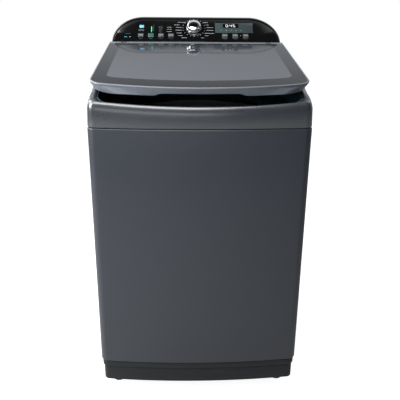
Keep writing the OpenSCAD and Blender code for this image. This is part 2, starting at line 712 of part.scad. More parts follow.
module mounting_plate() color([0.55, 0.57, 0.6]) tub_axis() difference() {
    box(-175, shaft_gap + 70, -125, 115, plate_z, plate_z + plate_t);
    translate([0, 0, plate_z - 1]) cylinder(r = bearing_r + 4 + fit, h = 20);
    translate([shaft_gap, 0, plate_z - 1]) cylinder(r = 12, h = 20);
    translate([drain_xy[0], drain_xy[1] - tub_y, plate_z - 1]) cylinder(r = 38, h = 20);
}

module gearbox_housing() color([0.66, 0.68, 0.7]) tub_axis() rotate_extrude($fn = 96) polygon([
    [bearing_r, gear_z], [62, gear_z], [62, plate_z], [bearing_r + 4, plate_z], [bearing_r + 4, neck_top],
    [bearing_r, neck_top], [bearing_r, neck_top - 28], [tube_r + 4, neck_top - 28], [tube_r + 4, gear_z + 24],
    [bearing_r, gear_z + 24]]);

module shaft_bearings() color([0.78, 0.8, 0.82]) tub_axis() {
    ring(bearing_r - 0.02, tube_r + 0.02, gear_z + 4, gear_z + 24);
    ring(bearing_r - 0.02, tube_r + 0.02, neck_top - 28, neck_top - 8);
}
module shaft_seal() color([0.1, 0.1, 0.1]) tub_axis()
    ring(bearing_r - 0.02, tube_r + run, neck_top - 8, neck_top);

motor_h = 84;
module motor_axis() translate([shaft_gap, tub_y, 0]) children();
module motor_housing() color([0.5, 0.52, 0.55]) motor_axis() rotate_extrude($fn = 96) polygon([
    [8 + run, plate_z - motor_h], [motor_r, plate_z - motor_h], [motor_r, plate_z], [12, plate_z],
    [12, plate_z - 5],
    [motor_r - 4, plate_z - 5], [motor_r - 4, plate_z - motor_h + 5], [8 + run, plate_z - motor_h + 5]]);
module motor_rotor() color([0.7, 0.55, 0.4]) motor_axis() {
    translate([0, 0, pulley_z + 2]) cylinder(r = 8, h = plate_z - pulley_z - 12);
    translate([0, 0, plate_z - motor_h + 14]) cylinder(r = motor_r - 22, h = motor_h - 30);
}
module motor_pulley() color([0.75, 0.75, 0.78]) motor_axis() difference() {
    pulley(motor_pulley_r);
    cylinder(r = 8 + 0.01, h = 400);
}
module pulley(r) translate([0, 0, pulley_z]) rotate_extrude($fn = 96)
    polygon([[0, 0], [r + 3, 0], [r + 3, 2.5], [r, 4], [r, pulley_t - 4], [r + 3, pulley_t - 2.5],
        [r + 3, pulley_t], [0, pulley_t]]);

function belt_line(grow) = let (a = acos((pulley_r - motor_pulley_r) / shaft_gap))
    concat(arc(0, 0, pulley_r + fit + grow, a, 360 - a, 48),
        arc(shaft_gap, 0, motor_pulley_r + fit + grow, -a, a, 24));
module drive_belt() color([0.06, 0.06, 0.06]) tub_axis()
    translate([0, 0, pulley_z + 5]) linear_extrude(pulley_t - 10) difference() {
        polygon(belt_line(belt_t));
        polygon(belt_line(0));
    }
module run_capacitor() color([0.85, 0.85, 0.87]) tub_axis() translate([40, -98, plate_z - 60]) {
    cylinder(r = 19, h = 60);
    translate([0, 0, -6]) cylinder(r = 8, h = 7);
}
module drain_valve() color([0.2, 0.2, 0.22]) translate([drain_xy[0], drain_xy[1], 0]) {
    translate([0, 0, tub_z - 58]) cylinder(r = 34, h = 58);
    ring(stub_r, drain_r, outlet_z + 50, tub_z - 57);
    translate([0, 0, tub_z - 30]) rotate([0, -90, 0]) cylinder(r = 14, h = 70);
}

// ---------------------------------------------------------------- basket, pulsator

module basket() color([0.82, 0.84, 0.86]) tub_axis() difference() {
    translate([0, 0, basket_z]) cylinder(r = basket_r, h = basket_top - 30 - basket_z, $fn = 128);
    translate([0, 0, basket_z - 1]) cylinder(r = basket_r - basket_wall, h = 900, $fn = 128);
    for (z = [basket_z + 40 : 60 : basket_top - 80]) for (a = [0 : 30 : 330]) rotate([0, 0, a])
        translate([basket_r - 10, 0, z]) rotate([0, 90, 0]) cylinder(r = 4, h = 20, $fn = 16);
}

module basket_floor() color([0.82, 0.84, 0.86]) tub_axis() difference() {
    translate([0, 0, basket_z]) cylinder(r = basket_r - basket_wall, h = 2, $fn = 128);
    cylinder(r = tube_r + 0.02, h = 900);
}

module balance_ring() color([0.72, 0.76, 0.8]) tub_axis() rotate_extrude($fn = 128) polygon([
    [basket_r - ring_w, basket_top - 30], [basket_r + 4, basket_top - 30], [basket_r + 4, basket_top],
    [basket_r - ring_w + 8, basket_top], [basket_r - ring_w, basket_top - 8]]);
module basket_hub() color([0.6, 0.62, 0.64]) tub_axis() difference() {
    translate([0, 0, basket_z - 9]) cylinder(r = 95, h = 9);
    cylinder(r = tube_r + 0.02, h = 900);
}
module spin_tube() color([0.7, 0.72, 0.75]) tub_axis() ring(tube_r, shaft_r + run, gear_z + 1, basket_z + 10);

module pulsator() color([0.78, 0.82, 0.86]) tub_axis() difference() {
    union() {
        rotate_extrude($fn = 96) polygon([[0, basket_z + 14], [pulsator_r, basket_z + 14],
            [pulsator_r, basket_z + 20], [pulsator_r - 20, basket_z + 22], [60, basket_z + 28],
            [34, basket_z + 46], [0, basket_z + 50]]);
        for (a = [0 : 60 : 300]) rotate([0, 0, a]) along_x([[-6, basket_z + 20], [6, basket_z + 20],
            [2, basket_z + 44], [-2, basket_z + 44]], 30, pulsator_r - 14);
    }
    cylinder(r = shaft_r + 0.01, h = basket_z + 40);
}
module pulsator_shaft() color([0.72, 0.74, 0.77]) tub_axis()
    translate([0, 0, pulley_z - 4]) cylinder(r = shaft_r, h = basket_z + 44 - pulley_z);
module driven_pulley() color([0.7, 0.72, 0.75]) tub_axis() difference() {
    pulley(pulley_r);
    cylinder(r = shaft_r + 0.01, h = 400);
    for (a = [0 : 60 : 300]) rotate([0, 0, a]) translate([pulley_r * 0.6, 0, 0]) cylinder(r = 16, h = 400);
}

cabinet_wrap();
rear_panel();
base_frame();
bottom_shield();
rear_feet();
front_foot_left();
front_foot_right();
top_cover();
inner_deck();
console_housing();
console_panel();
display_window();
control_board();
knob();
knob_spindle();
button_1();
button_2();
button_3();
button_4();
button_5();
button_6();
button_7();
power_button();
inlet_valves();
dispenser_housing();
detergent_drawer();
lid_frame();
lid_glass();
lid_striker();
hinge_pins();
lid_bumpers();
lid_lock();
lock_bolt();
pressure_switch();
cord_gland();
drain_hose();
drain_outlet();
corner_brackets();
suspension_rods();
spring_cups();
suspension_springs();
outer_tub();
tub_floor();
tub_lugs();
tub_cover();
mounting_plate();
gearbox_housing();
shaft_bearings();
shaft_seal();
motor_housing();
motor_rotor();
motor_pulley();
drive_belt();
run_capacitor();
drain_valve();
basket();
basket_floor();
balance_ring();
basket_hub();
spin_tube();
pulsator();
pulsator_shaft();
driven_pulley();
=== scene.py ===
"""Looks of a top load washing machine, built round its packed construction.

The cabinet stands on the floor with its front towards -Y. Sizes are in millimetres until a piece is
finished, when it is scaled to metres. The outer shells, the lid, the console and its controls are
modelled here; the mechanism keeps its constructed shapes and gets real finishes.
"""
import logging
import math
from dataclasses import dataclass, field
from enum import Enum
from typing import Callable, Iterable, Sequence

import bmesh
import bpy
from mathutils import Matrix, Vector

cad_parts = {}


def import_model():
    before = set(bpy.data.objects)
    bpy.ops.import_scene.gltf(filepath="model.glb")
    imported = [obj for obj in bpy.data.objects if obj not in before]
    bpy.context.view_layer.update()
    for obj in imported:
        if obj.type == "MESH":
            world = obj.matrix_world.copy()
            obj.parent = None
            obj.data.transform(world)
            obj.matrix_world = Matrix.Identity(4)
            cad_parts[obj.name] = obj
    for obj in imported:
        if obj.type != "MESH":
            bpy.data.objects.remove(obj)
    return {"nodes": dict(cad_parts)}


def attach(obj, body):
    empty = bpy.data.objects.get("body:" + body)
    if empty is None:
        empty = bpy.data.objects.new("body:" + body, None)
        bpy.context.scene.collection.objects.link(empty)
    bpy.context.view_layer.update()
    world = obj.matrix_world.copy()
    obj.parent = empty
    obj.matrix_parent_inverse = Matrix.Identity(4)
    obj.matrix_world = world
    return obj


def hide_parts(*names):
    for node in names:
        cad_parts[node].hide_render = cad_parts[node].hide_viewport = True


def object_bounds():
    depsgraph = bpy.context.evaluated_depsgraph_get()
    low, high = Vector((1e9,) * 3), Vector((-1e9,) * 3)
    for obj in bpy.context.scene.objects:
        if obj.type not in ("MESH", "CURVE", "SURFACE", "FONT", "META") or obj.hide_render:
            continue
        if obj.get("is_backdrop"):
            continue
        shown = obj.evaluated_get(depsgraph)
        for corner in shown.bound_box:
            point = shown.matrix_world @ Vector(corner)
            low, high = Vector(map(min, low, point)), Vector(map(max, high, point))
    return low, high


log = logging.getLogger("washing_machine")
Point2 = tuple[float, float]
Tree, Node, Socket = bpy.types.NodeTree, bpy.types.Node, bpy.types.NodeSocket
Mesh, Piece = bpy.types.Mesh, bpy.types.Object
Height = float | Callable[[float, float], float]
MM = 0.001
WELD_MM = 0.002


# ---------------------------------------------------------------- colour and node helpers

def linear(hex_colour: str) -> tuple[float, float, float, float]:
    """Turn an sRGB hex colour, such as "3e434b", into linear RGBA."""
    parts = [int(hex_colour[i:i + 2], 16) / 255 for i in (0, 2, 4)]
    return tuple(c / 12.92 if c <= 0.04045 else ((c + 0.055) / 1.055) ** 2.4 for c in parts) + (1.0,)


def fill(node: Node, inputs: dict) -> Node:
    """Give a node's inputs their values or links.

    Args:
        node: the node.
        inputs: input name or index to a value, or to an output socket to link from.

    Returns:
        The same node.
    """
    for key, value in inputs.items():
        if isinstance(value, Socket):
            node.id_data.links.new(value, node.inputs[key])
        else:
            node.inputs[key].default_value = value
    return node


def add_node(tree: Tree, kind: str, inputs: dict | None = None, **settings) -> Node:
    """Add a node to a tree.

    Args:
        tree: the node tree.
        kind: the node's type.
        inputs: its inputs, as fill() takes them.
        **settings: its own properties.

    Returns:
        The new node.
    """
    node = tree.nodes.new(kind)
    for name, value in settings.items():
        setattr(node, name, value)
    return fill(node, inputs or {})


def object_place(tree: Tree) -> Socket:
    """Object coordinates, in metres."""
    return add_node(tree, "ShaderNodeTexCoord").outputs["Object"]


def camera_ray(tree: Tree) -> Socket:
    """1 for what the camera sees directly, 0 for every other ray."""
    return add_node(tree, "ShaderNodeLightPath").outputs["Is Camera Ray"]


def new_material(name: str) -> bpy.types.Material:
    """Make a material with one Principled shader.

    Args:
        name: the material's name.

    Returns:
        The new material.
    """
    mat = bpy.data.materials.new(name)
    mat.use_nodes = True
    return mat


def in_scene(name: str, data: bpy.types.ID) -> Piece:
    """Put object data in the scene.

    Args:
        name: the object's name.
        data: its mesh, camera or light.

    Returns:
        The new object.
    """
    obj = bpy.data.objects.new(name, data)
    bpy.context.scene.collection.objects.link(obj)
    return obj


WHITE = (1.0, 1.0, 1.0, 1.0)
# The lid glass's colours grade from front to rear between these places, in metres; the grade is painted
# reflection and shade, not print.
LID_NEAR, LID_FAR = -0.33, 0.2
# Spacing of the colour's mottle and of the wear, in millimetres; stretch of a brushed finish along Z.
MOTTLE_MM, WEAR_MM, BRUSHED = 2.2, 60.0, (1.0, 1.0, 14.0)


@dataclass(frozen=True)
class Finish:
    """A surface finish: one Principled shader with an optional grain.

    The grain is noise in Object coordinates, given by its spacing and depth in millimetres. They are
    the real texture's, coarsened where the real one would be too fine to see.
    """

    name: str
    colour: str
    roughness: float
    metallic: float = 0.0
    coat: float = 0.0
    coat_roughness: float = 0.03
    ior: float = 1.5
    grain: tuple[float, ...] = ()
    mottle: float = 0.0
    rough_spread: float = 0.0
    brushed: bool = False
    glow: float = 0.0
    # The colour that the lid's glass grades to at its front: painted reflection and shade.
    front_painted_light: str = ""

    def material(self) -> bpy.types.Material:
        """Build the material, once for each finish.

        Returns:
            The node material of this finish.
        """
        found = bpy.data.materials.get(self.name)
        if found:
            return found
        mat = new_material(self.name)
        tree = mat.node_tree
        colour = linear(self.colour)
        shader = fill(tree.nodes["Principled BSDF"], {
            "Base Color": colour, "Roughness": self.roughness, "Metallic": self.metallic,
            "Coat Weight": self.coat, "Coat Roughness": self.coat_roughness})
        if not self.metallic:
            fill(shader, {"IOR": self.ior})
        if self.glow:
            fill(shader, {"Emission Color": colour, "Emission Strength": self.glow})
        place = object_place(tree)
        if self.brushed:
            place = add_node(tree, "ShaderNodeMapping", {"Vector": place, "Scale": BRUSHED}).outputs["Vector"]
        if self.mottle:
            fill(shader, {"Base Color": self._mottle_and_painted_light(tree, place, colour)})
        if self.rough_spread:
            fill(shader, {"Roughness": self._wear(tree, place)})
        if self.grain:
            fill(shader, {"Normal": self._grain(tree, place)})
        mat.diffuse_color = colour
        return mat

    def _noise(self, tree: Tree, place: Socket, spacing_mm: float, detail: float) -> Socket:
        """Noise whose cells are about spacing_mm across."""
        return add_node(tree, "ShaderNodeTexNoise", {"Vector": place, "Scale": 1.0 / (spacing_mm * MM),
                                                     "Detail": detail}).outputs["Fac"]

    def _mottle_and_painted_light(self, tree: Tree, place: Socket, colour: Sequence[float]) -> Socket:
        """Vary the colour slightly as pigment and flake do, and on the lid grade it from front to rear as
        painted reflection and shade.

        Args:
            tree: the material's tree.
            place: where to sample the noise.
            colour: the finish's own colour.

        Returns:
            The colour's output.
        """
        def mixed(factor: Socket, first: Sequence[float] | Socket, second: Sequence[float]) -> Socket:
            """A blend of two colours."""
            return add_node(tree, "ShaderNodeMix", {"Factor": factor, "A": first, "B": second},
                            data_type="RGBA").outputs["Result"]

        low, high = (tuple(min(c * (1 + part), 1.0) for c in colour[:3]) + (1.0,)
                     for part in (-self.mottle, self.mottle))
        shade = mixed(self._noise(tree, place, MOTTLE_MM, 3.0), low, high)
        # Painted reflection and shade: towards the lid's front the glass's colour moves to a second colour.
        if self.front_painted_light:
            depth = add_node(tree, "ShaderNodeSeparateXYZ", {"Vector": place}).outputs["Y"]
            share = add_node(tree, "ShaderNodeMapRange", {
                "Value": depth, "From Min": LID_NEAR, "From Max": LID_FAR, "To Min": 1.0, "To Max": 0.0})
            shade = mixed(share.outputs["Result"], shade, linear(self.front_painted_light))
        return shade

    def _wear(self, tree: Tree, place: Socket) -> Socket:
        """The roughness, varied over a hand's breadth as handling and wiping do."""
        return add_node(tree, "ShaderNodeMapRange", {
            "Value": self._noise(tree, place, WEAR_MM, 4.0), "From Min": 0.3, "From Max": 0.7,
            "To Min": self.roughness - self.rough_spread,
            "To Max": self.roughness + self.rough_spread}).outputs["Result"]

    def _grain(self, tree: Tree, place: Socket) -> Socket:
        """A fine raised texture."""
        spacing, depth = self.grain
        return add_node(tree, "ShaderNodeBump", {
            "Height": self._noise(tree, place, spacing, 2.0), "Strength": 1.0,
            "Distance": depth * MM}).outputs["Normal"]


class Finishes(Enum):
    """The finishes of this machine, each named for its material and how it was made."""

    # Pre-painted sheet steel: a satin coat with a faint orange peel, about 3 mm from crest to crest.
    SHEET = Finish("prepainted_steel_sheet", "33373e", 0.36, grain=(3.2, 0.012), mottle=0.04,
                   rough_spread=0.03, coat=0.15, coat_roughness=0.2)
    # Painted ABS moulding: smoother and slightly glossier than the sheet.
    COVER = Finish("painted_abs_moulding", "2e3238", 0.3, grain=(2.4, 0.006), mottle=0.03,
                   rough_spread=0.03, coat=1.0, coat_roughness=0.2, ior=1.8)
    # The lid's frame: the cover's paint made a lighter grey, as painted light for the brightness that its lip
    # catches from the front.
    LIP = Finish("painted_abs_lid_frame", "626871", 0.36, grain=(2.4, 0.006), mottle=0.03,
                 rough_spread=0.03, coat=0.3, coat_roughness=0.22)
    # Polypropylene plinth: a spark-eroded grain, drawn at 1.2 mm, coarser than the real 0.4 mm.
    PLINTH = Finish("grained_polypropylene", "0f1216", 0.5, grain=(1.2, 0.03), mottle=0.06)
    # Tempered float glass printed on its back: a hard gloss over a flat grey ink. Towards the front the
    # border is painted darker and the window lighter: painted shade and painted reflection.
    GLASS_BORDER = Finish("printed_tempered_glass_border", "1b1f23", 0.06, rough_spread=0.02,
                          mottle=0.015, front_painted_light="0d1013")
    GLASS_WINDOW = Finish("printed_tempered_glass_window", "303338", 0.06, rough_spread=0.02,
                          mottle=0.015, front_painted_light="515459")
    # Polished black acrylic: deep gloss, almost no body colour.
    PIANO = Finish("polished_black_acrylic", "0b0b0b", 0.12, coat=0.3, rough_spread=0.03, mottle=0.02)
    # Moulded black ABS: a low sheen with a fine grain.
    BLACK = Finish("moulded_black_abs", "0d0f11", 0.45, grain=(1.0, 0.02), mottle=0.08)
    DECK = Finish("moulded_dark_polypropylene", "2b4148", 0.4, grain=(1.4, 0.02), mottle=0.08)
    # Chromed ABS: a bright mirror with a trace of haze.
    CHROME = Finish("chromed_abs", "d2d3d6", 0.08, metallic=1.0, rough_spread=0.03)
    # Silk-screen ink on the panel: matt and slightly uneven, with a faint glow that is painted light, since
    # the ink is not lit.
    INK = Finish("silk_screen_ink", "8d9295", 0.6, mottle=0.1, glow=0.05)
    INK_DIM = Finish("dim_silk_screen_ink", "3b4041", 0.6, mottle=0.1)
    SMOKED = Finish("smoked_display_window", "374243", 0.1, coat=0.3, mottle=0.05, rough_spread=0.03)
    SMOKED_DARK = Finish("display_segment_field", "0a0d0e", 0.1, coat=0.3, mottle=0.05)
    DIGIT = Finish("lit_display_segment", "d8dcdc", 0.4, glow=0.7, mottle=0.03)
    LAMP_BLUE = Finish("lit_blue_lens", "5aaad2", 0.3, glow=0.55, mottle=0.05)
    LAMP_GREEN = Finish("lit_green_lens", "3cbe8c", 0.3, glow=0.5, mottle=0.05)
    LAMP_TEAL = Finish("dim_green_key", "2c5a4c", 0.35, glow=0.12, mottle=0.1)
    KEY = Finish("satin_button_abs", "33383a", 0.32, grain=(0.8, 0.01), mottle=0.05)
    KEY_LEGEND = Finish("printed_key_legend", "6a7071", 0.4, mottle=0.1)
    RUBBER = Finish("moulded_rubber", "0a0a0b", 0.7, grain=(1.0, 0.05), mottle=0.12)
    GALVANISED = Finish("galvanised_sheet", "8a8f92", 0.45, metallic=0.9, mottle=0.12, rough_spread=0.1,
                        grain=(6.0, 0.01))
    STEEL = Finish("turned_steel", "a3a5a8", 0.28, metallic=1.0, mottle=0.04, brushed=True,
                   grain=(0.8, 0.01))
    STAINLESS = Finish("pressed_stainless_sheet", "b9bbbd", 0.24, metallic=1.0, mottle=0.03,
                       rough_spread=0.05, brushed=True, grain=(1.0, 0.008))
    ALLOY = Finish("die_cast_aluminium", "9a9c9f", 0.48, metallic=1.0, mottle=0.06, grain=(1.2, 0.04))
    TUB = Finish("white_polypropylene", "c9cccd", 0.42, mottle=0.04, grain=(1.5, 0.02))
    PULSATOR = Finish("pearl_grey_polypropylene", "a9b2ba", 0.3, mottle=0.04, grain=(2.0, 0.01))
    NYLON = Finish("white_nylon", "cfd0cc", 0.4, mottle=0.05, grain=(1.0, 0.02))
    BOARD = Finish("solder_mask_board", "14462a", 0.35, mottle=0.15, coat=0.3)
    CORE = Finish("varnished_laminations", "5b4a3c", 0.4, metallic=0.6, mottle=0.15, brushed=True,
                  grain=(0.8, 0.03))


# ---------------------------------------------------------------- outlines and meshes

# Segments of an outline's bowed front, of each front corner and of each rear corner.
FRONT_STEPS, CORNER_STEPS, REAR_STEPS = 48, 12, 5


def arc(cx: float, cy: float, radius: float, start: float, end: float, steps: int) -> list[Point2]:
    """Points along an arc, both ends included; angles in radians."""
    turn = [start + (end - start) * i / steps for i in range(steps + 1)]
    return [(cx + radius * math.cos(a), cy + radius * math.sin(a)) for a in turn]


def rounding(radius: float, start: float, end: float, steps: int = 5) -> list[Point2]:
    """Points of a quarter or part turn of that radius about (0, 0), in degrees."""
    return arc(0, 0, radius, math.radians(start), math.radians(end), steps)


def circle(radius: float, steps: int) -> list[Point2]:
    """Points round a circle about (0, 0)."""
    return rounding(radius, 0, 360, steps)[:-1]


def smooth(share: float) -> float:
    """A share of the way, eased at both ends and kept between 0 and 1."""
    share = min(max(share, 0.0), 1.0)
    return share * share * (3 - 2 * share)


def shift(x: float, y: float, z: float) -> Matrix:
    """A move along the axes."""
    return Matrix.Translation((x, y, z))


def tilt(degrees: float, axis: str = "X") -> Matrix:
    """A turn about an axis."""
    return Matrix.Rotation(math.radians(degrees), 4, axis)


def level(points: Sequence[Point2], z: Height) -> list[tuple]:
    """Plan points at a height, which is fixed or a function of x and y."""
    return [(x, y, z(x, y) if callable(z) else z) for x, y in points]


@dataclass(frozen=True)
class Plan:
    """A plan outline with a bowed front, round front corners and tight rear corners.

    Offsets keep the number of points, so that rings of one plan can be joined into a shell.
    """

    width: float
    front: float
    back: float
    bow: float
    corner: float
    rear_corner: float = 5.0
    sides: tuple[float, ...] = ()

    def at(self, inset: float, z: Height, back: float | None = None) -> list[tuple]:
        """The outline moved inwards, at a height that is fixed or found from x and y."""
        return level(self.points(inset, back), z)

    def lower_edge(self, inset: float, z: float, r: float, steps: int = 5, back: float | None = None) -> list:
        """Rings of a wall's rounded lower edge, from the underside at z up to the wall."""
        return [self.at(inset + r - y, z + r - x, back) for x, y in rounding(r, 0, 90, steps)]

    def upper_edge(self, inset: float, z: float, r: float, steps: int = 5, back: float | None = None) -> list:
        """Rings of a wall's rounded upper edge, from the wall to the top at z."""
        return [self.at(inset + r - x, z - r + y, back) for x, y in rounding(r, 0, 90, steps)]

    def points(self, inset: float = 0.0, back: float | None = None) -> list[Point2]:
        """The outline moved inwards.

        Args:
            inset: how far inwards.
            back: another place for the rear edge.

        Returns:
            Points anticlockwise, from the rear of the left side.
        """
        half = self.width / 2 - inset
        front = self.front + inset
        rear = (self.back if back is None else back) - inset
        corner = max(self.corner - inset, 3.0)
        tight = max(self.rear_corner - inset, 1.5)
        cx = half - corner
        big = (cx * cx + self.bow * self.bow) / (2 * self.bow)
        by = front + big
        cy = by - math.sqrt((big - corner) ** 2 - cx * cx)
        turn = math.atan2(cx, by - cy)
        side = [min(max(y, cy), rear - tight) for y in self.sides]
        down = 1.5 * math.pi
        step = 2 * turn / FRONT_STEPS
        return ([(-half, y) for y in reversed(side)]
                + arc(-cx, cy, corner, math.pi, down - turn, CORNER_STEPS)
                + arc(0, by, big, down - turn + step, down + turn - step, FRONT_STEPS - 2)
                + arc(cx, cy, corner, down + turn, 2 * math.pi, CORNER_STEPS)
                + [(half, y) for y in side]
                + arc(half - tight, rear - tight, tight, 0, math.pi / 2, REAR_STEPS)
                + arc(-half + tight, rear - tight, tight, math.pi / 2, math.pi, REAR_STEPS))


class Draft:
    """The vertices and faces of one piece while it is built."""

    def __init__(self, name: str) -> None:
        """Start an empty piece of that name."""
        self.name = name
        self.bm = bmesh.new()

    def mesh(self) -> Mesh:
        """Use the draft up.

        Returns:
            Its mesh.
        """
        mesh = bpy.data.meshes.new(self.name)
        self.bm.to_mesh(mesh)
        self.bm.free()
        return mesh

    def add(self, mesh: Mesh, slot: int | None = None) -> None:
        """Move a mesh's faces into the draft.

        Args:
            mesh: the mesh, which is removed.
            slot: the faces' material index, or None for each face to keep its own.
        """
        before = len(self.bm.faces)
        self.bm.from_mesh(mesh)
        self.bm.faces.ensure_lookup_table()
        for face in self.bm.faces[before:] if slot is not None else ():
            face.material_index = slot
        bpy.data.meshes.remove(mesh)

    def move(self, *steps: Matrix) -> None:
        """Move the whole draft by the product of these matrices."""
        for step in reversed(steps):
            self.bm.transform(step)

    def ring(self, points: Iterable[Sequence[float]]) -> list[bmesh.types.BMVert]:
        """Add vertices at these points and return them in order."""
        return [self.bm.verts.new(p) for p in points]

    def bridge(self, first: list, second: list, slot: int = 0) -> None:
        """Join two closed rings of equal length with quads of one material index."""
        for i in range(len(first)):
            j = (i + 1) % len(first)
            self.bm.faces.new((first[i], first[j], second[j], second[i])).material_index = slot

    def cap(self, ring: list, slot: int = 0) -> None:
        """Close a ring with one face."""
        self.bm.faces.new(ring).material_index = slot

    def shell(self, rings: Sequence[Iterable[Sequence[float]]], slots: Sequence[int] | None = None,
              start_cap: int | None = None, end_cap: int | None = None, loop: bool = False) -> list:
        """Join a series of rings.

        Args:
            rings: the rings' points, in order.
            slots: the material index of each strip between two rings.
            start_cap: material index of a face over the first ring, or None for none.
            end_cap: the same for the last ring.
            loop: whether the last ring joins the first.

        Returns:
            The rings' vertices.
        """
        made = [self.ring(r) for r in rings]
        for i in range(len(made) - 1):
            self.bridge(made[i], made[i + 1], slots[i] if slots else 0)
        if loop:
            self.bridge(made[-1], made[0], slots[-1] if slots else 0)
        if start_cap is not None:
            self.cap(made[0], start_cap)
        if end_cap is not None:
            self.cap(made[-1], end_cap)
        return made

    def block(self, centre: Sequence[float], size: Sequence[float], round_off: float = 0.0, slot: int = 0,
              steps: int = 3) -> None:
        """A box with its edges rounded.

        Args:
            centre: the middle of the box.
            size: its three sides.
            round_off: radius of every edge.
            slot: the faces' material index.
            steps: segments of each rounded edge.
        """
        made = bmesh.ops.create_cube(self.bm, size=1.0, matrix=shift(*centre)
                                     @ Matrix.Diagonal((*size, 1.0)))["verts"]
        faces = {f for v in made for f in v.link_faces}
        for face in faces:
            face.material_index = slot
        if round_off:
            edges = list({e for v in made for e in v.link_edges})
            bevel = bmesh.ops.bevel(self.bm, geom=edges, offset=round_off, segments=steps, profile=0.5,
                                    affect="EDGES")
            for face in bevel["faces"]:
                face.material_index = slot

    def turned(self, profile: Sequence[Point2], steps: int = 96, slots: Sequence[int] | None = None) -> None:
        """Spin a profile of (radius, height) about Z; a radius of 0 closes the end.

        Args:
            profile: the outline from one end to the other.
            steps: points in each ring.
            slots: the material index of each strip.
        """
        rings = [self.ring(level(circle(radius, steps), height) if radius else [(0, 0, height)])
                 for radius, height in profile]
        for i, (a, b) in enumerate(zip(rings, rings[1:])):
            slot = slots[i] if slots else 0
            if len(a) == 1 or len(b) == 1:
                tip, rim = (a[0], b) if len(a) == 1 else (b[0], a)
                for k in range(steps):
                    self.bm.faces.new((rim[k], rim[(k + 1) % steps], tip)).material_index = slot
            else:
                self.bridge(a, b, slot)

    def finish(self, finishes: Sequence[Finishes], body: str, place: Matrix = Matrix.Identity(4), *,
               slot: str, replaces: Sequence[str] = (), crease: float = 32.0) -> None:
        """Turn the draft into a piece of the machine that rides on a body.

        Args:
            finishes: the finishes, in the order of the material indices.
            body: the body that the piece moves with.
            place: where the draft's own frame lies in the machine's.
            slot: the record's material slot of the piece; not used.
            replaces: constructed nodes that the piece stands for.
            crease: edges sharper than this many degrees stay sharp.
        """
        bmesh.ops.remove_doubles(self.bm, verts=self.bm.verts, dist=WELD_MM)
        bmesh.ops.dissolve_degenerate(self.bm, edges=self.bm.edges, dist=WELD_MM / 2)
        self.bm.transform(Matrix.Scale(MM, 4) @ place)
        bmesh.ops.recalc_face_normals(self.bm, faces=self.bm.faces)
        for face in self.bm.faces:
            face.smooth = True
        limit = math.radians(crease)
        for edge in self.bm.edges:
            edge.smooth = len(edge.link_faces) == 2 and edge.calc_face_angle(0.0) < limit
        mesh = self.mesh()
        for finish in finishes:
            mesh.materials.append(finish.value.material())
        obj = in_scene(self.name, mesh)
        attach(obj, body)
        if replaces:
            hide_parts(*replaces)
        log.info("%s: %d faces, on %s", self.name, len(mesh.polygons), body)


def discard(obj: Piece) -> None:
    """Remove an object and its mesh."""
    mesh = obj.data
    bpy.data.objects.remove(obj)
    bpy.data.meshes.remove(mesh)


def plain_mesh(obj: Piece) -> Mesh:
    """Apply a temporary object's modifiers.

    Args:
        obj: the object, which is removed.

    Returns:
        A new mesh of the result.
    """
    bpy.context.view_layer.update()
    graph = bpy.context.evaluated_depsgraph_get()
    mesh = bpy.data.meshes.new_from_object(obj.evaluated_get(graph))
    discard(obj)
    return mesh


def temporary(draft: Draft) -> Piece:
    """Put a draft in the scene for a modifier to work on, in millimetres.

    Args:
        draft: the draft, which is used up.

    Returns:
        The object.
    """
    bmesh.ops.remove_doubles(draft.bm, verts=draft.bm.verts, dist=WELD_MM)
    bmesh.ops.recalc_face_normals(draft.bm, faces=draft.bm.faces)
    return in_scene(draft.name, draft.mesh())


def carved(draft: Draft, cutter: Draft) -> Draft:
    """Cut one closed shape out of another.

    Args:
        draft: the shape that is cut.
        cutter: the shape that is taken away.

    Returns:
        A new draft of what is left.
    """
    body, tool = temporary(draft), temporary(cutter)
    modifier = body.modifiers.new("cut", "BOOLEAN")
    modifier.operation = "DIFFERENCE"
    modifier.solver = "EXACT"
    modifier.use_self = True
    modifier.object = tool
    out = Draft(draft.name)
    out.add(plain_mesh(body))
    discard(tool)
    return out


PATTERN_SOCKETS = {"Columns": "Int", "Rows": "Int", "Turn": "Float", "Across": "Float", "Rise": "Float",
                   "Finish": "Material"}


